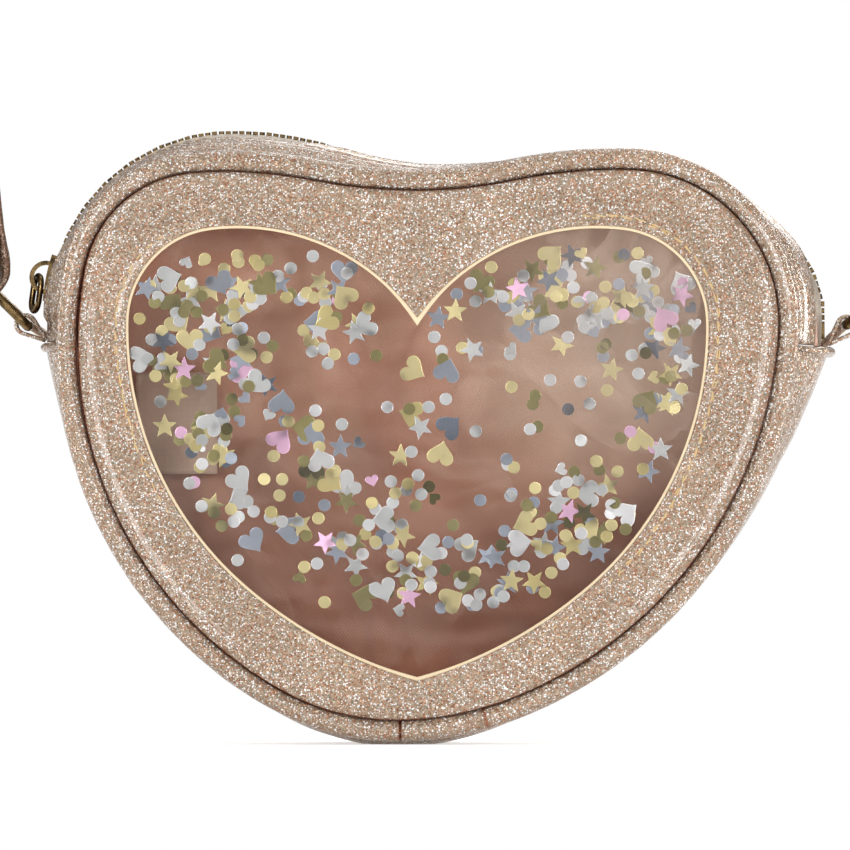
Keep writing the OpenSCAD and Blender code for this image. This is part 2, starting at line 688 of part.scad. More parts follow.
// Tabs: a strip folded round the ring's bar, its ends sewn between gusset and zip strips
function fold_point(s, e) = [s[0] + s[2] * e, s[1] + s[3] * e];
left_root_s = low_stations[0];
right_root_s = low_stations[len(low_stations) - 1];
left_root = fold_point(left_root_s, left_root_s[4] + soft_gap);
right_root = fold_point(right_root_s, right_root_s[4] + soft_gap);
left_tab_rise = 38;
right_tab_rise = 45;
tab_r = ring_wire / 2 + tab_t + 2 * soft_gap;
function drop_arc(l, r) = let (a = acos(r / (l - r)))
    [for (k = [0 : 12]) let (t = a + (360 - 2 * a) * k / 12) [l - r - r * cos(t), r * sin(t)]];
function teardrop(l, r) = concat([[0, 0]], drop_arc(l, r));
// The skin of a folded strip runs t thick all round, so its inner drop starts this far in
function drop_start(l, r, t) = t * (l - r) / r;
module tab_loop() {
    start = drop_start(tab_l, tab_r, tab_t);
    rotate([90, 0, 0]) translate([0, 0, -tab_w / 2]) linear_extrude(tab_w) difference() {
        polygon(teardrop(tab_l, tab_r));
        translate([start, 0]) polygon(teardrop(tab_l - start - tab_t, tab_r - tab_t));
    }
}
module left_tab() {
    color("rosybrown") translate([left_root[0], 0, left_root[1]]) mirror([1, 0, 0])
        rotate([0, -left_tab_rise, 0]) tab_loop();
}
module right_tab() {
    color("rosybrown") translate([right_root[0], 0, right_root[1]])
        rotate([0, -right_tab_rise, 0]) tab_loop();
}

// Strap rings: one bar through the tab, two arms, and one bar that carries the strap
ring_half = (ring_w + ring_wire) / 2;
ring_corner = ring_wire;
ring_rise = 45;
right_bar_along = tab_l - tab_t - ring_wire / 2 - soft_gap;
left_slack = 1;
left_bar_along = right_bar_along - left_slack;
left_bar = left_root + left_bar_along * [-cos(left_tab_rise), sin(left_tab_rise)];
right_bar = right_root + right_bar_along * [cos(right_tab_rise), sin(right_tab_rise)];
module strap_ring() {
    bar_half = ring_half - ring_corner;
    for (x = [0, ring_reach]) translate([x, 0, 0]) rotate([90, 0, 0])
        cylinder(d = ring_wire, h = 2 * bar_half, center = true, $fn = wire_sides);
    for (side = [-1, 1]) translate([ring_corner, side * ring_half, 0]) rotate([0, 90, 0])
        cylinder(d = ring_wire, h = ring_reach - 2 * ring_corner, $fn = wire_sides);
    for (side = [-1, 1]) {
        translate([ring_corner, side * bar_half, 0])
            wire_bend(ring_corner, ring_wire, side > 0 ? 90 : 180, 90);
        translate([ring_reach - ring_corner, side * bar_half, 0])
            wire_bend(ring_corner, ring_wire, side > 0 ? 0 : 270, 90);
    }
}
module left_strap_ring() {
    color("darkgoldenrod") translate([left_bar[0], 0, left_bar[1]]) mirror([1, 0, 0])
        rotate([0, -ring_rise, 0]) strap_ring();
}
module right_strap_ring() {
    color("darkgoldenrod") translate([right_bar[0], 0, right_bar[1]])
        rotate([0, -ring_rise, 0]) strap_ring();
}

// Strap ends: folded round the bow and sewn double, leaning a little outward
strap_lean = 6;
eye_slack = 0.9;
eye_r = ring_wire / 2 + strap_t + eye_slack;
eye_l = 20;
double_l = 12;
left_bow = left_bar + ring_reach * [-cos(ring_rise), sin(ring_rise)];
right_bow = right_bar + ring_reach * [cos(ring_rise), sin(ring_rise)];
bow_sink = ring_wire / 2 + strap_t + soft_gap;
eye_join = strap_t / tan(asin(eye_r / (eye_l - eye_r)));
module strap_end() {
    start = drop_start(eye_l, eye_r, strap_t);
    rotate([90, 0, 0]) translate([0, eye_l - bow_sink, -strap_w / 2]) rotate([0, 0, -90])
        linear_extrude(strap_w) difference() {
            polygon(concat([[-double_l, strap_t], [eye_join, strap_t]], drop_arc(eye_l, eye_r),
                [[eye_join, -strap_t], [-double_l, -strap_t]]));
            translate([start, 0]) polygon(teardrop(eye_l - start - strap_t, eye_r - strap_t));
        }
}
module strap_end_left() {
    color("rosybrown") translate([left_bow[0], 0, left_bow[1]]) rotate([0, -strap_lean, 0])
        strap_end();
}
module strap_end_right() {
    color("rosybrown") translate([right_bow[0], 0, right_bow[1]]) rotate([0, strap_lean, 0])
        strap_end();
}

// The strap's one long route: from the left end over, behind the purse into the roll, and out again
strap_end_l = eye_l - bow_sink + double_l;
left_dir = [-sin(strap_lean), 0, cos(strap_lean)];
right_dir = [sin(strap_lean), 0, cos(strap_lean)];
left_top = [left_bow[0], 0, left_bow[1]] + strap_end_l * left_dir;
right_top = [right_bow[0], 0, right_bow[1]] + strap_end_l * right_dir;

roll_x = -4;
roll_y = purse_depth / 2 + seat_gap + soft_gap + strap_w / 2;
roll_pitch = strap_t + roll_gap;
roll_turn = 360 * roll_turns;
roll_out_turn = roll_turn + 90;
function inner_r(t) = roll_core_r + 2 * roll_pitch * t / 360;
function outer_r(t) = inner_r(t) + roll_pitch;
roll_z = outer_r(roll_turn - 90) + strap_t / 2 + seat_gap;
function roll_point(t, r) = [roll_x + r * cos(180 + roll_turn - t), roll_y,
    roll_z + r * sin(180 + roll_turn - t)];
roll_step = 22.5;
fold_step = 45;
roll_route = concat(
    [for (t = [roll_turn : -roll_step : 0]) roll_point(t, outer_r(t))],
    [for (a = [fold_step : fold_step : 180 - fold_step]) let (c = roll_point(0, roll_core_r
        + roll_pitch / 2)) c + roll_pitch / 2 * [-cos(a), 0, -sin(a)]],
    [for (t = [0 : roll_step : roll_out_turn]) roll_point(t, inner_r(t))]);

left_run = [[-113.5, 0.5, 150], [-116, 2, 159], [-121, 4, 166], [-129, 7, 168], [-136, 11, 162],
    [-139, 15, 151], [-138, 19, 139], [-133, 24, 127], [-125, 28, 116], [-114, 31, 108.5],
    [-101, 32, 103], [-88, 32, 98], [-74, 32, 91], [-61, 32, 81], [-50, 32, 69], [-41, 32, 56],
    [-33, 32, 43], [-28, 32, 32]];
right_run = [[7, 32, 44], [18, 32, 48.5], [29, 32, 55], [41, 32, 63], [54, 32, 72], [68, 32, 82],
    [82, 32, 91], [96, 32, 98.5], [110, 31, 104], [122, 29, 110], [133, 26, 118], [142, 22, 129],
    [147, 17, 142], [147, 12, 154], [143, 8, 163], [135, 4, 168], [127, 2, 164], [122.5, 0.5, 155]];

function unit(v) = v / norm(v);
function ribbon_ring(p, t) = let (w = unit([0, 1, 0] - ([0, 1, 0] * t) * t), n = cross(t, w))
    [for (c = [[-1, -1], [1, -1], [1, 1], [-1, 1]])
        p + c[0] * strap_w / 2 * w + c[1] * strap_t / 2 * n];
module ribbon(path, first_t, last_t) {
    n = len(path);
    loft([for (i = [0 : n - 1]) ribbon_ring(path[i], i == 0 ? first_t
        : i == n - 1 ? last_t : unit(path[i + 1] - path[i - 1]))]);
}
roll_count = len(roll_route);
into_roll = [0, 0, -1];
out_of_roll = [1, 0, 0];
module strap_left() {
    color("rosybrown") ribbon(concat([left_top], left_run, [roll_route[0]]), left_dir, into_roll);
}
module strap_right() {
    color("rosybrown") ribbon(concat([roll_route[roll_count - 1]], right_run, [right_top]),
        out_of_roll, -right_dir);
}
module strap_roll() {
    color("rosybrown") ribbon(roll_route, into_roll, out_of_roll);
}

front_panel();
window_facing();
window_sheet_outer();
window_sheet_inner();
confetti_rounds();
confetti_stars();
confetti_hearts();
front_lining();
back_panel();
back_lining();
care_label();
front_piping();
front_piping_cord();
back_piping();
back_piping_cord();
gusset_bottom();
gusset_lining();
zip_strip_front();
zip_strip_back();
zip_strip_linings();
zip_tape_front();
zip_tape_back();
zip_teeth_front();
zip_teeth_back();
zip_stops();
slider_body();
slider_crown();
zip_puller();
left_tab();
right_tab();
left_strap_ring();
right_strap_ring();
strap_end_left();
strap_end_right();
strap_left();
strap_right();
strap_roll();
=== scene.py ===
import math

import bmesh
import bpy
import numpy as np
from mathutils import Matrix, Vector, noise


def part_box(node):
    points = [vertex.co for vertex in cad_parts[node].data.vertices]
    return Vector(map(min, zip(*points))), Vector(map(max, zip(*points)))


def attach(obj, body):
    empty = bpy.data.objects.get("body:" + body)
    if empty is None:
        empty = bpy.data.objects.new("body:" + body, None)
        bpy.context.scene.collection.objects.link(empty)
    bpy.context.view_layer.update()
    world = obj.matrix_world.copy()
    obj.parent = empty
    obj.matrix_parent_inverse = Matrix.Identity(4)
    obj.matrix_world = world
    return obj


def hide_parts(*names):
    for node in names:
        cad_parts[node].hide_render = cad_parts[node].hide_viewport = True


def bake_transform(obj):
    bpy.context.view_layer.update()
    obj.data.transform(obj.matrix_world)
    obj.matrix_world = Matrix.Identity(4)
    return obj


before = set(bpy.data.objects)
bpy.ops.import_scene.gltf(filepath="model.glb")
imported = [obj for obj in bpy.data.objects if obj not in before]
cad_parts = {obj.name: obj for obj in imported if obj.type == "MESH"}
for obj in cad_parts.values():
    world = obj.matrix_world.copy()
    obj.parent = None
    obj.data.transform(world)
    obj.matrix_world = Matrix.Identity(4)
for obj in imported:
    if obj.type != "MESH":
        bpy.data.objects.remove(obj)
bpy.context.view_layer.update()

# Lengths in this script are millimetres until a mesh is made from them
MM = 0.001

# Camera: the photograph's frame, square on to the front panel
PHOTO_SIDE = 850
PX_PER_MM = 4.1
FLOOR_PX = 745
CAMERA_GAP = 6000
SENSOR = 36

# Body
PURSE_DEPTH = 50
FRONT_Y = -PURSE_DEPTH / 2
PANEL_T = 1.2
GUSSET_T = 1.1
LINING_T = 0.6
PIPING_R = 2.5
PIPING_WALL = 1.0
SEAT_GAP = 0.1
SOFT_GAP = 0.3
PIPING_Y = PURSE_DEPTH / 2 - PIPING_R + SEAT_GAP
PIPING_OUT = PIPING_R + SEAT_GAP
GUSSET_HALF = PIPING_Y - PIPING_R - SOFT_GAP
GUSSET_EDGE = 1.9
CROWN_RISE = 11.7
CROWN_POWER = 3

# Heart outline: where it starts, and (radius, heading at its end) of each arc up to the dip
TIP_Z = 5.9
TIP_LEAN = 7.2
NOTCH_LEAN = 1.4
RIGHT_ARCS = [(78, 21.6), (103, 86.4), (37.5, 179), (128, 191.9)]
LEFT_ARCS = [(57, 28.7), (97, 100.7), (29.3, 176.1), (112, 190.9)]
SEAM_STEP = 1.5

# The gusset's crown as a share of CROWN_RISE, by share of the way from the tip to the dip
RIGHT_CROWN = [(0, 0.60), (0.06, 0.53), (0.12, 0.45), (0.23, 0.42), (0.35, 0.47), (0.45, 0.58),
               (0.50, 0.76), (0.55, 0.98), (0.60, 0.99), (0.64, 0.74), (0.68, 0.46), (0.74, 0.36),
               (0.83, 0.34), (0.91, 0.41), (1, 0.54)]
LEFT_CROWN = [(0, 0.60), (0.06, 0.50), (0.12, 0.43), (0.25, 0.41), (0.37, 0.43), (0.47, 0.47),
              (0.53, 0.56), (0.57, 0.56), (0.60, 0.50), (0.84, 0.87), (0.89, 0.83), (0.945, 0.66),
              (1, 0.54)]

# Window
WINDOW_TIP_Z = 15.6
WINDOW_LEAN = 1.9
WINDOW_START = 16
WINDOW_ARCS = [(112, 40), (84, 91), (23.6, 173)]
WINDOW_LOBE_R = 54
FACING_SHOW = 1.1
FACING_T = 0.6
SHEET_T = 0.4
SHEET_GAP = 1.5
SHEET_LAP = 7
HALF_N = 230

# Zip
TRACK_R = 45
ZIP_SIDE_REACH = 8.51
ZIP_TOP_REACH = 10.31
TRACK_FROM = 6
TRACK_TO_SHARE = 0.83
ZIP_END_Z = 98
TOOTH_H = 2.4
TAPE_T = 0.8
STRIP_EDGE = 6
TAPE_LAP = 3.4
BEAD_Y = 2.0
LEVEL_Y = 5.0

# Rings, tabs and strap
RING_WIRE = 2.4
RING_REACH = 14.4
RING_RISE = 45
TAB_W = 13.6
TAB_T = 1.0
TAB_L = 10.4
LEFT_TAB_RISE = 38
RIGHT_TAB_RISE = 45
LEFT_SLACK = 1
STRAP_W = 13
STRAP_T = 2
STRAP_LEAN = 6
EYE_SLACK = 1.5
EYE_L = 20
DOUBLE_L = 12
ROLL_X = -4
ROLL_TURNS = 3
ROLL_CORE_R = 4.2
ROLL_PITCH = 2.5
ROLL_STEP = 7.5
ROLL_Y = PURSE_DEPTH / 2 + SEAT_GAP + SOFT_GAP + STRAP_W / 2
LEFT_RUN = [(-113.5, 0.5, 150), (-116, 2, 159), (-121, 4, 166), (-129, 7, 168), (-136, 11, 162),
            (-139, 15, 151), (-138, 19, 139), (-133, 24, 127), (-125, 28, 118.5), (-114, 31, 113.8),
            (-106, 31.6, 110.4), (-101, 32, 106), (-96, 32, 101.8), (-88, 32, 97.4), (-74, 32, 91),
            (-61, 32, 81), (-50, 32, 69), (-41, 32, 56), (-33, 32, 43), (-28, 32, 32)]
RIGHT_RUN = [(7, 32, 44), (18, 32, 48.5), (29, 32, 55), (41, 32, 63), (54, 32, 72), (68, 32, 82),
             (82, 32, 91), (94, 32, 95.4), (99, 32, 98.6), (104.5, 31.6, 103.6), (112, 31, 108.6),
             (122, 29, 112.5), (133, 26, 119), (142, 22, 129), (147, 17, 142), (147, 12, 154),
             (143, 8, 163), (135, 4, 168), (127, 2, 164), (122.5, 0.5, 155)]


# Camera
def into_scene(name, data, place, turn):
    """Puts an object with this data into the scene."""
    made = bpy.data.objects.new(name, data)
    made.location = place
    made.rotation_euler = turn
    bpy.context.scene.collection.objects.link(made)
    return made


def make_camera():
    data = bpy.data.cameras.new("photo_camera")
    data.sensor_width = SENSOR
    data.lens = SENSOR * CAMERA_GAP / (PHOTO_SIDE / PX_PER_MM)
    height = (FLOOR_PX - PHOTO_SIDE / 2) / PX_PER_MM
    place = Vector((0, FRONT_Y - CAMERA_GAP, height)) * MM
    bpy.context.scene.camera = into_scene("photo_camera", data, place, (math.radians(90), 0, 0))


make_camera()


# Small helpers
DOWN = np.array([0, 0, -1.0])
RIGHTWARD = np.array([1.0, 0, 0])


def bump_at(x, centre, width):
    """A smooth bump of height 1 at centre, down to about a third one width away."""
    return np.exp(-((x - centre) / width) ** 2)


def hill(x, kind):
    height, centre, width = kind
    return height * bump_at(x, centre, width)


def fade(x, reach):
    """1 at an edge, and about a third of that at this reach from it."""
    return np.exp(-x / reach)


def patch(points, at, spread):
    """Near 1 about a place in x and z, and fading over this spread."""
    return np.exp(-((points[..., 0] - at[0]) / spread[0]) ** 2 - ((points[..., 2] - at[1]) / spread[1]) ** 2)


def smooth(t):
    t = np.clip(t, 0, 1)
    return t * t * (3 - 2 * t)


def unit(v):
    """One vector, or each row of several, at length 1."""
    v = np.asarray(v, float)
    return v / np.linalg.norm(v, axis=-1, keepdims=True)


def circle(n):
    """n angles round a circle, in radians."""
    return np.linspace(0, 2 * math.pi, n, endpoint=False)


def lengths_along(points):
    """How far along its run each point lies."""
    steps = np.linalg.norm(np.diff(points, axis=0), axis=1)
    return np.concatenate([[0], np.cumsum(steps)])


def points_at(points, at, want):
    """Points between those of a run, where at says how far along each of them lies."""
    return np.stack([np.interp(want, at, points[:, k]) for k in range(points.shape[1])], axis=1)


def resample(points, n):
    """n points at even steps along a run of points, its ends kept."""
    at = lengths_along(points)
    return points_at(points, at, np.linspace(0, at[-1], n))


def stand(points, y=0.0):
    """Points whose last axis starts with x and z, set upright at depth y, which may vary."""
    points = np.asarray(points)
    y = np.broadcast_to(y, points.shape[:-1])
    return np.stack([points[..., 0], y, points[..., 1]], axis=-1)


def beside(rows, reach, y):
    """Upright points at this reach from rows of x, z, outward x and outward z."""
    reach = np.asarray(reach)
    return stand(np.stack([rows[..., 0] + rows[..., 2] * reach, rows[..., 1] + rows[..., 3] * reach], -1), y)


def ripple(points, wave, seed):
    """Smooth noise from about -1 to 1, with bumps about wave long."""
    shift = Vector((seed * 7.3, seed * 3.1, seed * 5.7))
    flat = np.asarray(points, float).reshape(-1, 3) / wave
    values = [noise.noise(Vector(p) + shift) for p in flat]
    return np.array(values).reshape(np.shape(points)[:-1])


def waves(points, kinds):
    """Several ripples together, each given as its height, its length and its seed."""
    return sum(height * ripple(points, length, seed) for height, length, seed in kinds)


# Outlines
def side(heading):
    a = math.radians(heading)
    return np.array([-math.sin(a), math.cos(a)])


def trace(start, heading, arcs, step):
    """Rows of x, z, outward x, outward z and length so far, along arcs of signed radius."""
    rows, run, p, h = [], 0.0, np.array(start, float), heading
    for radius, to in arcs:
        centre = p + radius * side(h)
        length = abs(radius * math.radians(to - h))
        n = max(2, math.ceil(length / step))
        last = to == arcs[-1][1] and radius == arcs[-1][0]
        for k in range(n + last):
            g = h + (to - h) * k / n
            a = math.radians(g)
            rows.append([*(centre - radius * side(g)), math.sin(a), -math.cos(a), run + length * k / n])
        p, run, h = centre - radius * side(to), run + length, to
    return np.array(rows)


def run_of(arcs):
    """How far arcs that start level reach across and up, and the angle at their end."""
    heads = [0] + [to for _, to in arcs]
    turns = [(r, math.radians(a), math.radians(b)) for (r, _), a, b in zip(arcs, heads, heads[1:])]
    across = sum(r * (math.sin(b) - math.sin(a)) for r, a, b in turns)
    up = sum(r * (math.cos(a) - math.cos(b)) for r, a, b in turns)
    return across, up, math.radians(arcs[-1][1])


def heart_halves(step):
    """The right and the left half of the seam line, each from the tip to the dip, and the left's arcs."""
    across, up, end = run_of(RIGHT_ARCS)
    reach = TIP_LEAN - NOTCH_LEAN
    notch_r = (reach - across) / math.sin(end)
    rise = up - notch_r * (1 + math.cos(end))
    right = trace((-TIP_LEAN, TIP_Z), 0, RIGHT_ARCS + [(-notch_r, 180)], step)
    across, up, end = run_of(LEFT_ARCS)
    top = 1 + math.cos(end)
    fit = (-reach * top + rise * math.sin(end)) / (across * top + up * math.sin(end))
    notch_r = (-reach - fit * across) / math.sin(end)
    arcs = [(r * fit, to) for r, to in LEFT_ARCS]
    left = trace((TIP_LEAN, TIP_Z), 0, arcs + [(-notch_r, 180)], step)
    return right, left, arcs


def shoulder_centre(arcs, start):
    p, h = np.array(start, float), 0
    for radius, to in arcs[:2]:
        p = p + radius * side(h) - radius * side(to)
        h = to
    return p + arcs[2][0] * side(h)


RIGHT_HALF, LEFT_HALF, LEFT_FITTED = heart_halves(SEAM_STEP)
LEFT_SHOULDER = shoulder_centre(LEFT_FITTED, (TIP_LEAN, TIP_Z))
TRACK_SPARE = TRACK_R - LEFT_FITTED[2][0]
TRACK = np.array([TRACK_SPARE - ZIP_SIDE_REACH - LEFT_SHOULDER[0],
                  LEFT_SHOULDER[1] - TRACK_SPARE + ZIP_TOP_REACH])


def reach_to_track(p, n):
    d = p - TRACK
    b = d @ n
    return math.sqrt(b * b - d @ d + TRACK_R ** 2) - b


def seam_stations():
    """Closed run of x, z, outward x, outward z and the reach of the gusset's fold."""
    rows = []
    for row in RIGHT_HALF[:-1]:
        share = row[4] / RIGHT_HALF[-1, 4]
        rows.append([*row[:4], CROWN_RISE * np.interp(share, *zip(*RIGHT_CROWN))])
    for row in LEFT_HALF[:0:-1]:
        share = row[4] / LEFT_HALF[-1, 4]
        p, n = np.array([-row[0], row[1]]), np.array([-row[2], row[3]])
        on_track = p[1] > ZIP_END_Z + TRACK_FROM and share < TRACK_TO_SHARE
        reach = reach_to_track(p, n) if on_track else CROWN_RISE * np.interp(share, *zip(*LEFT_CROWN))
        rows.append([*p, *n, reach])
    return np.array(rows)


STATIONS = seam_stations()


def crossings(z):
    """Stations where the seam passes height z, as (right, left)."""
    found = [a + (b - a) * (z - a[1]) / (b[1] - a[1]) for a, b in zip(STATIONS, np.roll(STATIONS, -1, axis=0))
             if (a[1] - z) * (b[1] - z) < 0]
    found.sort(key=lambda s: -s[0])
    return found[0], found[-1]


def top_stations():
    z = ZIP_END_Z + SOFT_GAP
    right, left = crossings(z)
    return np.array([right, *[s for s in STATIONS if s[1] > z + SEAM_STEP / 4], left])


def low_stations():
    right, left = crossings(ZIP_END_Z)
    start = len(RIGHT_HALF) - 1
    ordered = np.concatenate([STATIONS[start:], STATIONS[:start]])
    return np.array([left, *[s for s in ordered if s[1] < ZIP_END_Z - SEAM_STEP / 4], right])


TOP = top_stations()
LOW = low_stations()


def window_half_arcs():
    end = trace((0, WINDOW_TIP_Z), WINDOW_START, WINDOW_ARCS, 2)[-1]
    lobe_x = end[0] - WINDOW_LOBE_R * math.sin(math.radians(WINDOW_ARCS[-1][1]))
    return WINDOW_ARCS + [(WINDOW_LOBE_R, 180 + math.degrees(math.asin(lobe_x / WINDOW_LOBE_R)))]


WINDOW_HALF = trace((0, WINDOW_TIP_Z), WINDOW_START, window_half_arcs(), 0.7)
LOBE_END = math.radians(window_half_arcs()[-1][1])


def window_half(grow, n):
    """Half of the window's outline moved outward by grow, from its tip to its dip."""
    moved = WINDOW_HALF[1:-1, :2] + grow * WINDOW_HALF[1:-1, 2:4]
    moved = moved[moved[:, 0] > 0.02]
    tip = [0, WINDOW_TIP_Z - grow / math.cos(math.radians(WINDOW_START))]
    dip = [0, WINDOW_HALF[-1, 1] + grow / abs(math.cos(LOBE_END))]
    return resample(np.array([tip, *moved, dip]), n)


def closed_loop(right, left):
    """One loop from two halves that both run from the tip to the dip."""
    return np.concatenate([right[:-1], left[:0:-1]])


def mirrored_window(half):
    return closed_loop(half, half * [-1, 1]) - [WINDOW_LEAN, 0]


def window_loop(grow, n=HALF_N):
    return mirrored_window(window_half(grow, n))


def heart_loop(inset, n=HALF_N):
    right = resample(RIGHT_HALF[:, :2] - inset * RIGHT_HALF[:, 2:4], n)
    left = resample(LEFT_HALF[:, :2] - inset * LEFT_HALF[:, 2:4], n) * [-1, 1]
    return closed_loop(right, left)


# Materials
def add(tree, kind, settings=(), **sockets):
    """A shader node; a socket, by name or as i and its number, is given a value or another's output."""
    made = tree.nodes.new("ShaderNode" + kind)
    for key, value in dict(settings).items():
        setattr(made, key, value)
    for key, value in sockets.items():
        numbered = key[0] == "i" and key[1:].isdigit()
        socket = made.inputs[int(key[1:]) if numbered else key.replace("_", " ")]
        if isinstance(value, bpy.types.NodeSocket):
            tree.links.new(value, socket)
        else:
            socket.default_value = value
    return made


def bare(name):
    """A material without nodes, its tree, and the object's own coordinates in it."""
    material = bpy.data.materials.new(name)
    material.use_nodes = True
    tree = material.node_tree
    tree.nodes.clear()
    return material, tree, add(tree, "TexCoord").outputs["Object"]


def finish(material, shader):
    tree = material.node_tree
    tree.links.new(shader.outputs[0], add(tree, "OutputMaterial").inputs[0])
    return material


def ramp(tree, factor, stops, stepped=False):
    """A colour ramp; a stop's colour may be one number for a grey."""
    made = add(tree, "ValToRGB", i0=factor)
    made.color_ramp.interpolation = "CONSTANT" if stepped else "LINEAR"
    for k, (at, colour) in enumerate(stops):
        stop = made.color_ramp.elements[k] if k < 2 else made.color_ramp.elements.new(at)
        stop.position = at
        stop.color = (*(colour if isinstance(colour, tuple) else (colour,) * 3), 1)
    return made.outputs["Color"]


def mix(tree, factor, a, b, blend="MIX"):
    made = add(tree, "Mix", {"data_type": "RGBA", "blend_type": blend}, i0=factor, i6=a, i7=b)
    return made.outputs[2]


def times(tree, a, b, factor=1.0):
    return mix(tree, factor, a, b, "MULTIPLY")


def maths(tree, operation, a, b=0.0, clamp=False, **third):
    settings = {"operation": operation, "use_clamp": clamp}
    return add(tree, "Math", settings, i0=a, i1=b, **third).outputs[0]


def scaled(tree, a, by, plus, clamp=False):
    return maths(tree, "MULTIPLY_ADD", a, by, clamp, i2=plus)


def vectors(tree, operation, **sockets):
    return add(tree, "VectorMath", {"operation": operation}, **sockets)


def clouds(tree, place, scale, detail, distortion=0.0):
    return add(tree, "TexNoise", Vector=place, Scale=scale, Detail=detail,
               Distortion=distortion).outputs[0]


def cells(tree, place, size):
    """Flakes of this size: their distances and three random numbers for each."""
    made = add(tree, "TexVoronoi", Vector=place, Scale=1 / (size * MM))
    return made, add(tree, "SeparateColor", i0=made.outputs["Color"]).outputs


def span(tree, value, low, high, **to):
    """A value's place between low and high, from 0 to 1 unless told otherwise."""
    return add(tree, "MapRange", i0=value, i1=low, i2=high, **to).outputs[0]


def near_spot(tree, place, spot, far, near, **to):
    gap = vectors(tree, "DISTANCE", i0=place, i1=spot)
    return span(tree, gap.outputs["Value"], far, near, **to)


def bands(tree, place, axis, pitch, **sockets):
    settings = {"wave_type": "BANDS", "bands_direction": axis}
    return add(tree, "TexWave", settings, Vector=place, Scale=math.pi / 10 / pitch,
               **sockets).outputs[1]


def relief(tree, strength, distance, height):
    return add(tree, "Bump", Strength=strength, Distance=distance * MM, Height=height).outputs[0]


def principled(tree, **sockets):
    return add(tree, "BsdfPrincipled", **sockets)


# Glitter leather: sizes of its flakes, and tones by share of them
FLAKE = 0.44
FLAKE_CORE = 0.42
BIG_FLAKE = 0.72
BIG_CORE = 0.38
BIG_SHARE = 0.10
# White flakes are pale glitter and also painted sparkle: they stand in for glints
WHITE_SHARE = 0.24
# Size of the painted sheen patches, in which more flakes turn white
SHEEN_PATCH = 6.0
GRAIN = 0.31
SEAM_SHADE_WAVE = 1.1
CLOUDY = (0.86, 1.06)
FLAKE_TILT = 0.9
LEATHER_TONES = [(0.0, (0.345, 0.133, 0.060)), (0.12, (0.42, 0.235, 0.142)), (0.36, (0.378, 0.277, 0.186)),
                 (0.62, (0.266, 0.224, 0.159)), (0.78, (0.46, 0.366, 0.274)), (0.93, (0.62, 0.54, 0.465))]
WHITE_FLAKE = (0.90, 0.90, 0.90, 1)
# Towards the seam's groove, a copper fringe and then near black: painted shade where the groove lies in
# shadow
SEAM_FRINGE = (0.40, 0.14, 0.065, 1)
SEAM_SHADE = (0.022, 0.009, 0.006, 1)


def glitter_leather(name, white_share=WHITE_SHARE, shade=(1.0, 1.0, 1.0)):
    """Coated leather under fine glitter: each flake has its own tone and its own tilt. White flakes are pale
    glitter and also painted sparkle, with more of them in painted sheen patches.
    """
    material, tree, place = bare(name)
    flakes, pick = cells(tree, place, FLAKE)
    grains, tone = cells(tree, place, GRAIN)
    big, big_pick = cells(tree, place, BIG_FLAKE)
    base = ramp(tree, tone[0], LEATHER_TONES, stepped=True)
    # Painted sheen: noise patches raise the share of white flakes
    limit = scaled(tree, clouds(tree, place, 1 / (SHEEN_PATCH * MM), 2.0), -0.6, 1.3 - white_share)
    bright = maths(tree, "GREATER_THAN", pick[0], limit)
    core = maths(tree, "LESS_THAN", flakes.outputs["Distance"], FLAKE_CORE)
    big_on = maths(tree, "GREATER_THAN", big_pick[1], 1 - BIG_SHARE * white_share / WHITE_SHARE)
    big_core = maths(tree, "LESS_THAN", big.outputs["Distance"], BIG_CORE)
    white = maths(tree, "MAXIMUM", maths(tree, "MULTIPLY", bright, core),
                  maths(tree, "MULTIPLY", big_on, big_core))
    colour = mix(tree, white, base, WHITE_FLAKE)
    low, high = (tuple(k * c for c in shade) for k in CLOUDY)
    colour = times(tree, colour, ramp(tree, clouds(tree, place, 55.0, 3.0), [(0.3, low), (0.7, high)]))
    seam = add(tree, "Attribute", {"attribute_name": "seam"}).outputs["Fac"]
    # Painted shade at the seam, broken up by fine noise
    shade_breakup = scaled(tree, clouds(tree, place, 1 / (SEAM_SHADE_WAVE * MM), 3.0), 0.7, -0.35)
    seam = maths(tree, "ADD", seam, maths(tree, "MULTIPLY", shade_breakup, maths(tree, "MULTIPLY", seam, 2.0)))
    colour = mix(tree, ramp(tree, seam, [(0.04, 0.0), (0.30, 0.9)]), colour, SEAM_FRINGE)
    colour = mix(tree, ramp(tree, seam, [(0.50, 0.0), (0.70, 1.0)]), colour, SEAM_SHADE)
    shift = vectors(tree, "SUBTRACT", i0=grains.outputs["Color"], i1=(0.5, 0.5, 0.5)).outputs[0]
    leaning = scaled(tree, white, -0.55 * FLAKE_TILT, FLAKE_TILT)
    shift = vectors(tree, "SCALE", i0=shift, Scale=leaning).outputs[0]
    normal = add(tree, "NewGeometry").outputs["Normal"]
    tilted = vectors(tree, "ADD", i0=normal, i1=shift).outputs[0]
    tilted = vectors(tree, "NORMALIZE", i0=tilted).outputs[0]
    return finish(material, principled(
        tree, Base_Color=colour, Metallic=scaled(tree, white, -0.4, 0.45), Normal=tilted,
        Roughness=scaled(tree, seam, 0.4, 0.32), Coat_Weight=scaled(tree, seam, -0.9, 0.55, clamp=True),
        Coat_Roughness=0.16))


def plain_surface(name, colour, roughness, bump_wave=0.0, bump=0.0, spread=0.12):
    """A surface with soft variation of tone and, if asked, a fine bump."""
    material, tree, place = bare(name)
    cloud = ramp(tree, clouds(tree, place, 180.0, 4.0), [(0.3, 1 - spread), (0.7, 1.0)])
    tint = times(tree, (*colour, 1), cloud)
    fine = {}
    if bump:
        fine["Normal"] = relief(tree, bump, 0.2, clouds(tree, place, 1 / (bump_wave * MM), 3.0))
    return finish(material, principled(tree, Base_Color=tint, Roughness=roughness, **fine))


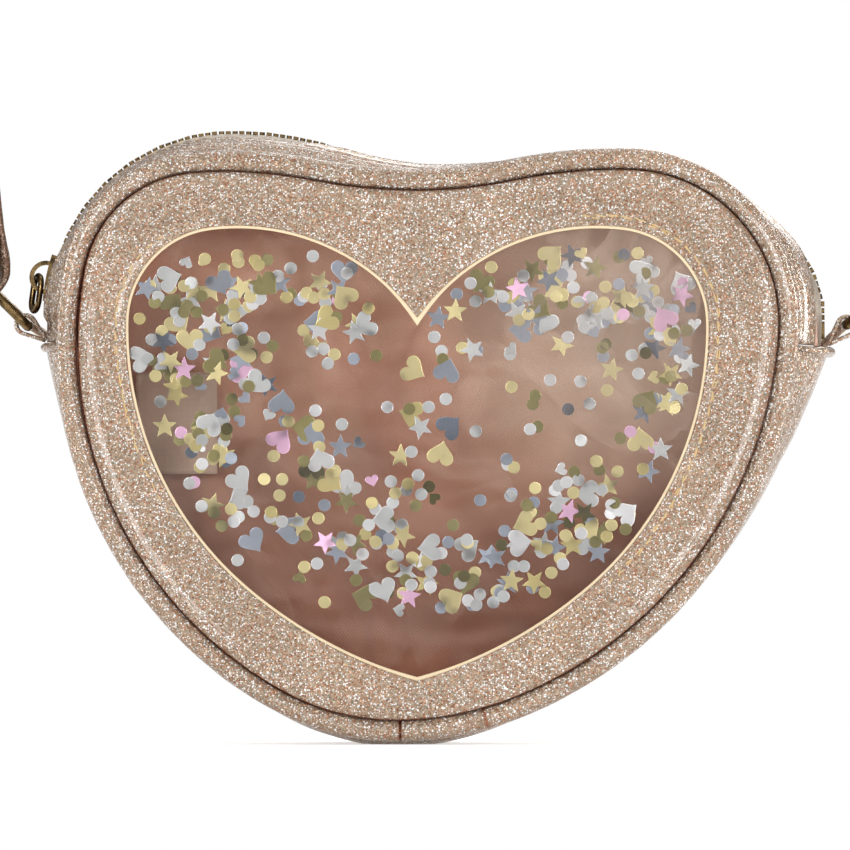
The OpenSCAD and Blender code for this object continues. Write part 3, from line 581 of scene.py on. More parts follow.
def antique_brass(name):
    """Brass with dark patina where it isn't rubbed."""
    material, tree, place = bare(name)
    patches = clouds(tree, place, 420.0, 5.0)
    tint = ramp(tree, patches, [(0.36, (0.040, 0.026, 0.013)), (0.62, (0.25, 0.165, 0.072))])
    rough = ramp(tree, patches, [(0.35, 0.36), (0.65, 0.20)])
    scratches = relief(tree, 0.15, 0.05, clouds(tree, place, 2500.0, 2.0))
    return finish(material, principled(tree, Base_Color=tint, Metallic=1.0, Roughness=rough,
                                       Normal=scratches))


# Satin: its twill, its tones, and in metres the heights where painted shade makes it deeper and darker, and
# the place where a painted pool of light makes it paler
TWILL_PITCH = 0.60
TWILL_TURN = math.radians(38)
PEACH = [(0.30, (1.0, 0.47, 0.30)), (0.70, (1.0, 0.62, 0.45))]
LIT_PEACH = (1.0, 0.80, 0.64, 1)
SHADED_LOW_PEACH = (0.70, 0.215, 0.070, 1)
INSIDE_SHADE = (0.65, 0.62, 0.62)
CREASE_SHADE = (0.80, 0.70, 0.66)
LOW_SHADE_HEIGHTS = (0.012, 0.075)
SHADED_HEIGHTS = (0.080, 0.118)
# Where the painted pool of light lies, and how far it reaches
LIT_PATCH_AT = (0.056, 0.022, 0.112)
LIT_PATCH_REACH = 0.06


def satin(name):
    """Peach satin with a fine twill; painted shade makes it darker low down, below the tops of the lobes and
    along creases, and a painted pool of light makes it paler behind the right lobe.
    """
    material, tree, place = bare(name)
    turned_place = add(tree, "Mapping", Vector=place, Rotation=(0, TWILL_TURN, 0)).outputs[0]
    lines = bands(tree, turned_place, "X", TWILL_PITCH * MM, Distortion=0.6, Detail=1.0)
    tint = ramp(tree, clouds(tree, place, 28.0, 4.0, 0.6), PEACH)
    height = add(tree, "SeparateXYZ", i0=place).outputs[2]
    # Painted shade: deeper and darker low down
    tint = mix(tree, span(tree, height, *LOW_SHADE_HEIGHTS), SHADED_LOW_PEACH, tint)
    # Painted shade below the tops of the lobes
    tint = times(tree, tint, ramp(tree, span(tree, height, *SHADED_HEIGHTS), [(0, INSIDE_SHADE), (1, 1.0)]))
    # Painted shade along thin creases
    crease = ramp(tree, clouds(tree, place, 15.0, 1.0, 1.4), [(0.455, 1.0), (0.50, CREASE_SHADE), (0.545, 1.0)])
    tint = times(tree, tint, crease, 0.7)
    # Painted pool of light behind the right lobe
    tint = mix(tree, near_spot(tree, place, LIT_PATCH_AT, LIT_PATCH_REACH, 0.015), tint, LIT_PEACH)
    tint = times(tree, tint, ramp(tree, lines, [(0.2, 0.90), (0.8, 1.0)]))
    return finish(material, principled(tree, Base_Color=tint, Roughness=0.42, Sheen_Weight=0.3,
                                       Anisotropic=0.5, Normal=relief(tree, 0.25, 0.08, lines)))


# Clear sheets: where their haze, thickened there as painted glare, is densest and how far it reaches, in
# metres
GLARE_HAZE_AT = (0.056, -0.022, 0.114)
GLARE_HAZE_REACH = 0.065


def clear_film(name):
    """Clear PVC: nearly all light passes, with a thin gloss and a faint haze, which thickens in streaks
    behind the right lobe as painted glare.
    """
    material, tree, place = bare(name)
    wavy = relief(tree, 0.5, 1.2, clouds(tree, place, 38.0, 2.0, 0.8))
    clear = add(tree, "BsdfTransparent", Color=(0.985, 0.975, 0.965, 1))
    gloss = add(tree, "BsdfGlossy", Color=(1, 1, 1, 1), Roughness=0.12, Normal=wavy)
    haze = add(tree, "BsdfDiffuse", Color=(0.98, 0.78, 0.66, 1))
    # Painted glare: the haze thickens about the right lobe, in streaks
    lobe = near_spot(tree, place, GLARE_HAZE_AT, GLARE_HAZE_REACH, 0.0, i3=0.016, i4=0.070)
    glare_streaks = ramp(tree, clouds(tree, place, 26.0, 1.5, 2.2), [(0.49, 0.55), (0.515, 1.4), (0.62, 0.9)])
    veil = maths(tree, "MULTIPLY", lobe, glare_streaks)
    facing = add(tree, "Fresnel", IOR=1.45, Normal=wavy).outputs[0]
    film = add(tree, "MixShader", i0=veil, i1=clear.outputs[0], i2=haze.outputs[0])
    return finish(material, add(tree, "MixShader", i0=maths(tree, "MULTIPLY", facing, 0.22),
                                i1=film.outputs[0], i2=gloss.outputs[0]))


def foil(name):
    """Metallised film; each flake carries its own tint, darkened and lightened in patches as painted
    reflections.
    """
    material, tree, place = bare(name)
    tint = add(tree, "Attribute", {"attribute_name": "tint"}).outputs["Color"]
    # Painted reflections: light and dark patches across the flakes
    lit = ramp(tree, clouds(tree, place, 170.0, 1.0), [(0.28, 0.32), (0.42, 0.74), (0.75, 0.90)])
    return finish(material, principled(tree, Base_Color=times(tree, tint, lit), Metallic=0.5, Roughness=0.30))


def woven(name, colour, pitch, low=0.72):
    """Ribbon with fine ribs across and along."""
    material, tree, _ = bare(name)
    place = add(tree, "UVMap").outputs[0]
    height = maths(tree, "MULTIPLY", *(bands(tree, place, axis, pitch) for axis in "XY"))
    tint = ramp(tree, height, [(0.0, tuple(low * c for c in colour)), (0.6, colour)])
    return finish(material, principled(tree, Base_Color=tint, Roughness=0.8, Sheen_Weight=0.2,
                                       Normal=relief(tree, 0.7, 0.15, height)))


# Each look's material and the slot that it fills
LOOKS = {
    "leather": (glitter_leather("glitter_leather"), "glitter_leather"),
    # The strap is the same glitter leather with fewer white flakes, darker and warmer: painted shade, as its
    # end lies in shade
    "strap": (glitter_leather("strap_leather", 0.09, (0.58, 0.47, 0.41)), "glitter_leather"),
    "cream": (plain_surface("cream_edge", (0.94, 0.76, 0.50), 0.45, 0.5, 0.15, 0.06), "cream_edge"),
    "film": (clear_film("clear_pvc"), "clear_pvc"),
    "foil": (foil("confetti_foil"), None),
    "satin": (satin("satin_lining"), "satin_lining"),
    "label": (woven("label_ribbon", (1.0, 0.80, 0.66), 0.3, 0.92), "label_white"),
    "cord": (plain_surface("filler_cord", (0.80, 0.77, 0.70), 0.9, 0.4, 0.6), "piping_cord"),
    "tape": (woven("zip_tape", (0.78, 0.68, 0.56), 0.55), "zip_tape"),
    "brass": (antique_brass("antique_brass"), None),
    "thread": (plain_surface("cream_thread", (0.76, 0.54, 0.27), 0.6, 0.25, 0.5), "cream_edge"),
    # Needle holes are flat dark discs: painted shade inside the holes
    "hole": (plain_surface("needle_hole", (0.03, 0.014, 0.008), 0.9), "glitter_leather"),
}


# Meshes
def make_piece(name, verts, faces, look, nodes=(), body="bag", slot=None, uvs=None, soft=True):
    """A piece of the object: its mesh in metres, its look, the nodes it stands for and its body."""
    material, plain_slot = LOOKS[look]
    slot = slot or plain_slot
    mesh = bpy.data.meshes.new(name)
    mesh.from_pydata([tuple(v) for v in np.asarray(verts) * MM], [], [tuple(f) for f in faces])
    if uvs is not None:
        layer = mesh.uv_layers.new(name="UVMap")
        layer.data.foreach_set("uv", np.asarray(uvs, np.float32).ravel())
    mesh.materials.append(material)
    if soft:
        mesh.polygons.foreach_set("use_smooth", [True] * len(mesh.polygons))
    mesh.update()
    piece = into_scene(name, mesh, (0, 0, 0), (0, 0, 0))
    if body:
        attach(piece, body)
    if nodes:
        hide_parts(*nodes)
    return piece


def skin(grid, wrap_u=False, wrap_v=False, cap_u=False, cap_v=False):
    """Vertices, faces and uvs over a grid of points [u][v]; u and v run in millimetres."""
    nu, nv = grid.shape[:2]
    index = np.arange(nu * nv).reshape(nu, nv)
    u_at, v_at = lengths_along(grid[:, nv // 2]), lengths_along(grid[nu // 2])
    u_at, v_at = (np.append(at, at[-1] + np.diff(at).mean()) for at in (u_at, v_at))
    faces, uvs = [], []
    for i in range(nu if wrap_u else nu - 1):
        for j in range(nv if wrap_v else nv - 1):
            i2, j2 = (i + 1) % nu, (j + 1) % nv
            faces.append((index[i, j], index[i2, j], index[i2, j2], index[i, j2]))
            uvs += [(u_at[a], v_at[b]) for a, b in ((i, j), (i + 1, j), (i + 1, j + 1), (i, j + 1))]
    caps = []
    if cap_u:
        caps += [index[0], index[-1][::-1]]
    if cap_v:
        caps += [index[:, 0][::-1], index[:, -1]]
    for cap in caps:
        faces.append(tuple(cap))
        uvs += [(0, 0)] * len(cap)
    return grid.reshape(-1, 3), faces, uvs


def turn_out(piece):
    """Points a closed mesh's faces outward."""
    bm = bmesh.new()
    bm.from_mesh(piece.data)
    bmesh.ops.recalc_face_normals(bm, faces=bm.faces)
    bm.to_mesh(piece.data)
    bm.free()


# How a grid of points is closed: as a ring of rings, a tube with two ends, or a disc with two faces
RING = {"wrap_u": True, "wrap_v": True}
TUBE = {"wrap_v": True, "cap_u": True}
DISC = {"wrap_u": True, "cap_v": True}


def skin_piece(name, grid, look, shape, nodes=(), body="bag"):
    verts, faces, uvs = skin(grid, **shape)
    piece = make_piece(name, verts, faces, look, nodes, body, uvs=uvs)
    turn_out(piece)
    return piece


def mark_seam_shade(piece, dark, plain):
    """Writes how dark the seam is at each point, painted shade in its groove: dark on the first part of the
    grid, plain on the rest.
    """
    values = np.concatenate([dark, np.zeros(plain)], axis=1)
    layer = piece.data.attributes.new("seam", "FLOAT", "POINT")
    layer.data.foreach_set("value", np.asarray(values, np.float32).ravel())


def join_piece(name, parts, look, nodes=(), **options):
    """One piece from several lists of vertices and faces."""
    verts, faces, count = [], [], 0
    for v, f in parts:
        verts.append(v)
        faces += [tuple(i + count for i in face) for face in f]
        count += len(v)
    return make_piece(name, np.concatenate(verts), faces, look, nodes, **options)


# Front and back panels
SEAM_DROP = 0.8
SEAM_SOFT = 0.22
SEAM_INSET = 0.15
EDGE_ROWS = [4, 3, 2.3, 1.7, 1.25, 0.9, 0.6, 0.4, 0.22, 0.1, 0]
LIP_ROWS = [0, 0.12, 0.3, 0.6, 1.1, 1.8]
LIP_H = 0.30
LIP_SOFT = 0.18
CALM_OVER = 3
PUCKER_H = 0.22
PUCKER_REACH = 2.2
PUCKER_L = 4.5
STITCH_OUT = 2.4
# Width of the painted shade along the seam
DARK_WIDTH = 0.15
# Uneven places as (height, length, seed), and single ones as (height, where, width)
SEAM_WIDE = 0.85
SEAM_UNEVEN = [(0.45, 7, 8), (0.30, 2.4, 9)]
LEFT_SEAM_AT, LEFT_SEAM_SPREAD, LEFT_SEAM_WIDER = (-84, 104), (9, 26), 1.6
FRONT_WAVES = [(0.30, 26, 1), (0.10, 9, 2)]
FRONT_RIDGE = (-0.45, 2.0, 1.1)
STITCH_FURROW = (0.14, STITCH_OUT, 0.45)
BACK_WAVES = [(0.55, 30, 5), (0.18, 10, 6)]
PILLOW = 1.1
PILLOW_OVER = 45
HEART_CENTRE = np.array([-2.0, 76.0])
HEART_REACH = 60
WINDOW_CENTRE = np.array([-WINDOW_LEAN, 72.0])


def left_side(points):
    """Near 1 on the upper left side, where the seam shows most."""
    return patch(points, LEFT_SEAM_AT, LEFT_SEAM_SPREAD)


def seam_weight(points):
    """How wide the painted shade along the seam is at each point: widest down the left side, and uneven
    everywhere.
    """
    return SEAM_WIDE + waves(points, SEAM_UNEVEN) + LEFT_SEAM_WIDER * left_side(points)


def edge_relief(flat, seam_d, seed):
    """Puckers beside the seam, and the drop into it."""
    pucker = PUCKER_H * fade(seam_d, PUCKER_REACH) * ripple(flat, PUCKER_L, seed)
    return pucker, SEAM_DROP * fade(seam_d, SEAM_SOFT)


def make_front_panel():
    inner, outer = window_loop(0), heart_loop(SEAM_INSET)
    rows = []
    for w, s, g in zip(inner, outer, np.linalg.norm(outer - inner, axis=1)):
        middle = np.linspace(LIP_ROWS[-1], g - EDGE_ROWS[0], 14)[1:-1]
        at = np.array([*LIP_ROWS, *middle, *[g - d for d in EDGE_ROWS]]) / g
        rows.append([[*(w + (s - w) * t), g * (1 - t), g * t] for t in at])
    rows = np.array(rows)
    flat, seam_d, window_d = stand(rows), rows[..., 2], rows[..., 3]
    pucker, drop = edge_relief(flat, seam_d, 3)
    lip = LIP_H * fade(window_d, LIP_SOFT)
    calm = 1 - fade(window_d, CALM_OVER)
    front_y = FRONT_Y + drop + hill(seam_d, FRONT_RIDGE) + lip + hill(window_d, STITCH_FURROW)
    front = stand(rows, front_y + waves(flat, FRONT_WAVES) * calm + pucker)
    back_rows = rows[:, [rows.shape[1] - 1, rows.shape[1] - 6, 4, 0]]
    at_seam = back_rows[..., 2] < 1
    back = stand(back_rows, FRONT_Y + PANEL_T - 0.1 + np.where(at_seam, SEAM_DROP, 0.15))
    grid = np.concatenate([front, back], axis=1)
    piece = skin_piece("front_panel_leather", grid, "leather", RING, ["front_panel"])
    # Painted shade along the seam's groove
    dark = bump_at(seam_d, 0, DARK_WIDTH * np.clip(seam_weight(flat), 0.3, 3))
    mark_seam_shade(piece, dark, back.shape[:2])


def disc(loop, centre, shares):
    """Upright points [u][v] from near the centre of a closed loop out to it."""
    return stand(centre + (loop[:, None, :] - centre) * shares[None, :, None])


def facing_pair(flat, face_y, back_y):
    """A thin disc: its face at one depth, and its back, run the other way, at another."""
    return np.concatenate([stand(flat[..., ::2], face_y), stand(flat[:, ::-1, ::2], back_y)], axis=1)


def make_back_panel():
    loop = heart_loop(SEAM_INSET)
    edge = [1 - d / HEART_REACH for d in EDGE_ROWS]
    shares = np.concatenate([np.linspace(0.02, edge[0], 16)[:-1], edge])
    flat = disc(loop, HEART_CENTRE, shares)
    seam_d = np.linalg.norm(loop - HEART_CENTRE, axis=1)[:, None] * (1 - shares[None, :])
    pillow = PILLOW * (1 - (1 - np.clip(seam_d / PILLOW_OVER, 0, 1)) ** 2)
    pucker, drop = edge_relief(flat, seam_d, 7)
    face_y = -FRONT_Y - drop + 0.5 * pillow + waves(flat, BACK_WAVES) * 0.5 + pucker
    inside_y = -FRONT_Y - PANEL_T + 0.1 - np.where(seam_d[:, ::-1] < 2, SEAM_DROP - 0.6, 0)
    grid = facing_pair(flat, face_y, inside_y)
    piece = skin_piece("back_panel_leather", grid, "leather", DISC, ["back_panel"])
    # Painted shade along the seam's groove
    mark_seam_shade(piece, bump_at(seam_d, 0, DARK_WIDTH), seam_d.shape)


# Window: the facing's section as (outward, deep), from its lap round the edge and back
FACING_SECTION = [(0.9, 0.15), (0.0, 0.05), (-0.45, 0.0), (-0.8, 0.08), (-1.0, 0.3), (-0.9, 0.6), (0.0, 0.75),
                  (SHEET_LAP, 0.6), (SHEET_LAP, 0.1)]
FACING_SHARE = 0.62
WIDER_POINTS = [(0.25, 0, 0.03), (0.5, 1, 0.04)]
SHEET_WAVE = 0.12
SHEET_WAVE_L = 18


def make_facing():
    """The cream edge: a strip with a round inner edge, a little wider at the two points."""
    share = np.linspace(0, 1, HALF_N)
    wide = FACING_SHARE * FACING_SHOW + sum(hill(share, kind) for kind in WIDER_POINTS)
    base = window_half(0, HALF_N)
    rings = []
    for out, deep in FACING_SECTION:
        half = window_half(out, HALF_N)
        if out < 0:
            half = base + (half - base) * wide[:, None]
        rings.append(stand(mirrored_window(half), FRONT_Y + PANEL_T - 0.45 + deep))
    skin_piece("window_facing_edge", np.stack(rings, axis=1), "cream", RING, ["window_facing"])


def make_sheet(name, y, node, bulge, seed):
    shares = np.linspace(0.02, 1, 26)
    flat = disc(window_loop(SHEET_LAP - 0.2), WINDOW_CENTRE, shares)
    wave = SHEET_WAVE * ripple(flat, SHEET_WAVE_L, seed) * (1 - shares ** 6)[None, :]
    swell = bulge * (1 - shares ** 3)[None, :] + wave
    grid = facing_pair(flat, y - swell, (y - swell)[:, ::-1] + SHEET_T)
    skin_piece(name, grid, "film", DISC, [node])


OUTER_SHEET_Y = FRONT_Y + PANEL_T + FACING_T
INNER_SHEET_Y = OUTER_SHEET_Y + SHEET_T + SHEET_GAP
BACK_LINING_Y = PURSE_DEPTH / 2 - PANEL_T - SOFT_GAP - LINING_T


# Confetti: clusters are (x, z, spread, weight); tints are display tones of foil
CLUSTERS = [(-60, 110, 10, 1.5), (-42, 114, 12, 1.6), (-24, 110, 10, 1.3), (-64, 92, 9, 1.4),
            (-46, 96, 12, 1.1), (-57, 72, 10, 1.5), (-40, 78, 9, 0.7), (-46, 58, 9, 1.4),
            (-26, 70, 9, 0.7), (-20, 52, 10, 1.3), (-6, 42, 10, 1.4), (-4, 58, 8, 0.8),
            (14, 42, 10, 1.6), (26, 38, 9, 1.3), (30, 56, 10, 1.2), (44, 58, 11, 1.4), (52, 74, 9, 0.9),
            (62, 96, 9, 1.6), (48, 100, 10, 1.2), (36, 114, 11, 1.5), (56, 112, 10, 1.5),
            (16, 106, 11, 1.2), (4, 96, 9, 0.6), (24, 76, 8, 0.5), (6, 76, 10, 0.4)]
CLUSTER_SHARE = 0.72
SPARSE_EVERYWHERE = 0.07
MOST_WEIGHT = 1.6
CONFETTI_LEFT, CONFETTI_RIGHT = -72, 68
CONFETTI_TOP = 120
CONFETTI_FLOOR = 32
CONFETTI_INSET = -3.0
FLAKE_T = 0.05
FLAKE_LEAN = 0.035
# How much lighter each flake's rim is: a painted glint
RIM_GLINT = 1.45
# Each tint's colour and its share among the rounds and among the stars and hearts
FOIL_TINTS = {
    "silver": ((0.50, 0.53, 0.55), 0.22, 0.22), "white_silver": ((0.60, 0.62, 0.65), 0.14, 0.10),
    "blue_grey": ((0.27, 0.31, 0.38), 0.10, 0.16), "pale_gold": ((0.60, 0.53, 0.27), 0.24, 0.22),
    "gold": ((0.50, 0.43, 0.19), 0.06, 0.05), "olive": ((0.21, 0.19, 0.07), 0.15, 0.10),
    "dark_olive": ((0.085, 0.075, 0.022), 0.04, 0.03), "lilac": ((0.68, 0.42, 0.62), 0.03, 0.10),
    "navy": ((0.10, 0.125, 0.17), 0.02, 0.02)}
ROUND_MIX, SHAPE_MIX = 1, 2
ROUND_D, ROUND_COUNT = 3.0, 380
STAR_R, STAR_COUNT = 3.1, 92
HEART_W, HEART_COUNT = 6.6, 66
SMALL_HEART_W, SMALL_HEART_COUNT = 3.2, 34


def confetti_weight(x, z):
    total = SPARSE_EVERYWHERE
    for cx, cz, spread, weight in CLUSTERS:
        total += weight * math.exp(-((x - cx) ** 2 + (z - cz) ** 2) / (2 * (spread * CLUSTER_SHARE) ** 2))
    return total


def inside_loop(p, loop):
    a, b = loop, np.roll(loop, -1, axis=0)
    cross = (a[:, 1] > p[1]) != (b[:, 1] > p[1])
    with np.errstate(divide="ignore", invalid="ignore"):
        at = (b[:, 0] - a[:, 0]) * (p[1] - a[:, 1]) / (b[:, 1] - a[:, 1]) + a[:, 0]
    return np.count_nonzero(cross & (p[0] < at)) % 2 == 1


def round_outline(d):
    return [(d / 2 * math.cos(a), d / 2 * math.sin(a)) for a in circle(20)]


def star_outline(r):
    """Five points at r, and the corners between them further in."""
    reach = [r, 0.44 * r] * 5
    return [(k * math.sin(math.pi * n / 5), k * math.cos(math.pi * n / 5)) for n, k in enumerate(reach)]


def heart_outline(w):
    return [(w / 32 * 16 * math.sin(t) ** 3,
             w / 32 * (13 * math.cos(t) - 5 * math.cos(2 * t) - 2 * math.cos(3 * t) - math.cos(4 * t)))
            for t in circle(32)]


def flake_mesh(outline, x, y, z, spin, lean):
    """A thin flake: two rings of points on each face, the outer one for its lighter rim, a painted glint."""
    c, s = math.cos(spin), math.sin(spin)
    turned_pts = np.array(outline) @ np.array([[c, s], [-s, c]])
    n = len(turned_pts)
    verts = [(x + px, y + deep * FLAKE_T + lean[0] * px + lean[1] * pz, z + pz)
             for scale, deep in ((0.93, 0.0), (1.0, 0.25), (1.0, 0.75), (0.93, 1.0))
             for px, pz in turned_pts * scale]
    faces = [tuple(range(n)), tuple(range(4 * n - 1, 3 * n - 1, -1))]
    for ring in range(0, 3 * n, n):
        for k in range(n):
            k2 = (k + 1) % n
            faces.append((ring + k2, ring + k, ring + n + k, ring + n + k2))
    return np.array(verts), faces


def draw_places(count, rng, loop):
    places = []
    while len(places) < count:
        x, z = rng.uniform(CONFETTI_LEFT, CONFETTI_RIGHT), rng.uniform(CONFETTI_FLOOR, CONFETTI_TOP)
        if z < CONFETTI_FLOOR + 0.10 * abs(x) or not inside_loop((x, z), loop):
            continue
        if rng.uniform(0, MOST_WEIGHT) < confetti_weight(x, z):
            places.append((x, z))
    return places


def make_confetti(name, node, slot, outlines, mix_of, seed):
    """Flakes of one kind, each at its own place, depth, spin, lean and tint."""
    rng = np.random.default_rng(seed)
    loop = window_loop(CONFETTI_INSET, 80)
    names = list(FOIL_TINTS)
    chances = np.array([FOIL_TINTS[key][mix_of] for key in names])
    parts, colours = [], []
    depth_from = OUTER_SHEET_Y + SHEET_T + 0.10
    depth_room = SHEET_GAP - 0.35
    for outline, count in outlines:
        for x, z in draw_places(count, rng, loop):
            y = depth_from + depth_room * rng.uniform(0, 1)
            lean = rng.normal(0, FLAKE_LEAN, 2)
            parts.append(flake_mesh(outline, x, y, z, rng.uniform(0, 2 * math.pi), lean))
            tint = np.array(FOIL_TINTS[rng.choice(names, p=chances / chances.sum())][0])
            tint = tint * rng.uniform(0.88, 1.10)
            # Each flake's rim is lighter: a painted glint
            for lit, times_over in ((1.0, len(outline)), (RIM_GLINT, 3 * len(outline))):
                colours += [*np.clip(tint * lit, 0, 1), 1] * times_over
    piece = join_piece(name, parts, "foil", [node], slot=slot, soft=False)
    layer = piece.data.attributes.new("tint", "FLOAT_COLOR", "POINT")
    layer.data.foreach_set("color", np.array(colours, np.float32))


# Linings
LINING_INSET = 2.6
LINING_DRIFT = [(14, 60, 11)]
LINING_STRETCH = [1, 1, 2.4]
LINING_FOLDS = [(2.2, 30, 12), (0.8, 12, 13)]
LINING_MEAN, LINING_MOST = 3.0, 9


def make_back_lining():
    shares = np.linspace(0.02, 1, 60)
    flat = disc(heart_loop(LINING_INSET), HEART_CENTRE, shares)
    drift = flat * LINING_STRETCH + waves(flat, LINING_DRIFT)[..., None]
    folds = np.clip(waves(drift, LINING_FOLDS) + LINING_MEAN, 0, LINING_MOST)
    face_y = BACK_LINING_Y - folds * (1 - shares ** 4)[None, :] - 0.1
    grid = facing_pair(flat, face_y, BACK_LINING_Y + LINING_T - 0.1)
    skin_piece("back_lining_satin", grid, "satin", DISC, ["back_lining"])


def make_front_lining():
    inner, outer = window_loop(0.4), heart_loop(LINING_INSET)
    section = ((0, 0.05), (0.3, 0.0), (0.7, 0.05), (1, 0.05), (1, 0.6), (0.5, 0.65), (0, 0.6))
    rings = [stand(inner + (outer - inner) * t, INNER_SHEET_Y + SHEET_T + deep) for t, deep in section]
    skin_piece("front_lining_satin", np.stack(rings, axis=1), "satin", RING, ["front_lining"])


# The label hangs forward of its place and curls
LABEL_FORWARD = 5.5
LABEL_CURL = 2.5
LABEL_CURL_TURN = 2.2
LABEL_WAVE = 0.5
LABEL_WAVE_TURN = 5
LABEL_T = 0.25
LABEL_ROWS = 24


def make_label():
    low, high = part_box("care_label")
    low, high = np.array(low) / MM, np.array(high) / MM
    u, v = np.meshgrid(*[np.linspace(0, 1, LABEL_ROWS)] * 2, indexing="ij")
    x = low[0] + (high[0] - low[0]) * u
    z = low[2] + (high[2] - low[2]) * v
    y = (low[1] - LABEL_FORWARD - LABEL_CURL * np.sin(u * LABEL_CURL_TURN)
         + LABEL_WAVE * np.sin(v * LABEL_WAVE_TURN))
    front = np.stack([x, y, z], axis=-1)
    grid = np.concatenate([front, front[:, ::-1] + [0, LABEL_T, 0]], axis=1)
    skin_piece("care_label_ribbon", grid, "label", TUBE, ["care_label"])


# Gusset, zip strips and their linings: how far the strips' free edges lie below the fold, by bearing
# in degrees from the heart's middle. They lie low where the teeth show, high where the teeth hide
# and beside the slider
BEARING_FROM = (0, 85)
EDGE_DROP_AT = [(8, 2.8), (15, 2.6), (21, -0.2), (60, -0.4), (112, -0.5), (118, 0.7), (123, 1.6), (136, 1.7),
                (146, 1.1), (156, 0.7), (160, -0.6), (166, -1.3), (172, -1.2)]
EDGE_SOFT = 5
EDGE_BEAD = (0.25, 0.8, 0.6)
EDGE_ROUND = 0.5
EDGE_ROUND_OVER = 0.2
ROOT_SWELL = 1.2
ROOT_SWELL_OVER = 9
LINING_SINK = GUSSET_T + SOFT_GAP
STRIP_LINING_SINK = LINING_SINK + TAPE_T + SOFT_GAP
LINING_SHARE = 0.97
# How far painted shade reaches from a band's seam
BAND_DARK = 0.7
# Folds along the bands: two soft ones that wander as swing says, and fine ones as (distance from the
# seam, depth). Names that end in L are lengths of the ripples, and BAND_CALM is where they reach in full
FOLD_IN = 4.6
FOLD_WANDER = 1.6
FOLD_DEPTH, FOLD_WIDTH = -0.55, 0.9
SECOND_FOLD_IN = 3.4
SECOND_DEPTH, SECOND_WIDTH = -0.35, 0.8
SWING_L = 34
ALONG_H, ALONG_L = 0.40, 24
BAND_CALM = 6
BAND_PUCKER_H, BAND_PUCKER_REACH, BAND_PUCKER_L = 0.35, 2.5, 5
FINE_FOLDS = [(1.6, 0.30), (3.0, 0.26), (6.8, 0.22), (8.6, 0.22), (10.6, 0.18)]
FINE_WIDTH = 0.45
FINE_WANDER, FINE_WANDER_L = 0.8, 21
FINE_STRENGTH, FINE_CHANGE, FINE_CHANGE_L = 0.55, 0.8, 30


def fold_reach(reach, y):
    return GUSSET_EDGE + (reach - GUSSET_EDGE) * (1 - np.abs(y / GUSSET_HALF) ** CROWN_POWER)


def edge_drop(stations):
    x, z = stations[:, 0] - BEARING_FROM[0], stations[:, 1] - BEARING_FROM[1]
    return np.interp(np.degrees(np.arctan2(z, x)), *zip(*EDGE_DROP_AT))


def station_grid(stations, depths, reach):
    """Points at each station's reach [u][v] over depths [v]."""
    return beside(stations[:, None], reach, depths[None, :])


def soft_band(stations, depths, sink, t, seed, free_edge):
    """A closed leather band over the gusset's fold, with soft folds along it and puckers at its seam."""
    base = fold_reach(stations[:, None, 4], depths[None, :])
    flat = station_grid(stations, depths, base)
    upright = flat * [1, 0, 1]
    deep = np.abs(depths)[None, :]
    seam_d = GUSSET_HALF - deep
    swing = ripple(flat * [1, 0.15, 1], SWING_L, seed)
    along = ALONG_H * ripple(flat, ALONG_L, seed + 1) * np.clip(seam_d / BAND_CALM, 0, 1)
    fold_y = GUSSET_HALF - FOLD_IN - FOLD_WANDER * swing
    crease = hill(deep, (FOLD_DEPTH, fold_y, FOLD_WIDTH)) * (0.6 + 0.4 * swing)
    second = hill(deep, (SECOND_DEPTH, fold_y - SECOND_FOLD_IN, SECOND_WIDTH)) * (0.5 - 0.5 * swing)
    pucker = ripple(flat * [1, 0.3, 1], BAND_PUCKER_L, seed + 2)
    pucker = BAND_PUCKER_H * fade(seam_d, BAND_PUCKER_REACH) * pucker
    for k, (from_seam, fold) in enumerate(FINE_FOLDS):
        wander = FINE_WANDER * ripple(upright, FINE_WANDER_L, seed + 5 + k)
        change = FINE_CHANGE * ripple(upright, FINE_CHANGE_L, seed + 11 + k)
        strength = np.clip(FINE_STRENGTH + change, 0, 1)
        pucker = pucker - fold * strength * bump_at(seam_d - from_seam, wander, FINE_WIDTH)
    reach = base + along + crease + second + pucker - sink
    inner_reach = base - sink - t
    if free_edge is None:
        swell = ROOT_SWELL * fade(np.abs(stations[:, 1] - ZIP_END_Z), ROOT_SWELL_OVER)[:, None]
        reach = reach + swell * np.clip(seam_d / 8, 0, 1)
    else:
        edge_d = np.abs(deep - free_edge)
        lowered = edge_drop(stations)[:, None] * fade(edge_d, EDGE_SOFT)
        reach = reach - lowered + hill(edge_d, EDGE_BEAD) - EDGE_ROUND * fade(edge_d, EDGE_ROUND_OVER)
        inner_reach = inner_reach - lowered
    outer = station_grid(stations, depths, reach)
    inner = station_grid(stations, depths, inner_reach)[:, ::-1]
    outer[..., 2] = np.maximum(outer[..., 2], sink)
    inner[..., 2] = np.maximum(inner[..., 2], sink + t)
    return np.concatenate([outer, inner], axis=1), np.broadcast_to(seam_d, reach.shape)


def make_band(name, stations, depths, seed, nodes, lining_sink=0, free_edge=None):
    """A leather band, or the lining under one where it lies sunk below the fold."""
    look, t = ("satin", LINING_T) if lining_sink else ("leather", GUSSET_T)
    grid, seam_d = soft_band(stations, depths, lining_sink, t, seed, free_edge)
    # The band carries painted shade at its seam
    mark_seam_shade(skin_piece(name, grid, look, TUBE, nodes), bump_at(seam_d, 0, BAND_DARK), seam_d.shape)


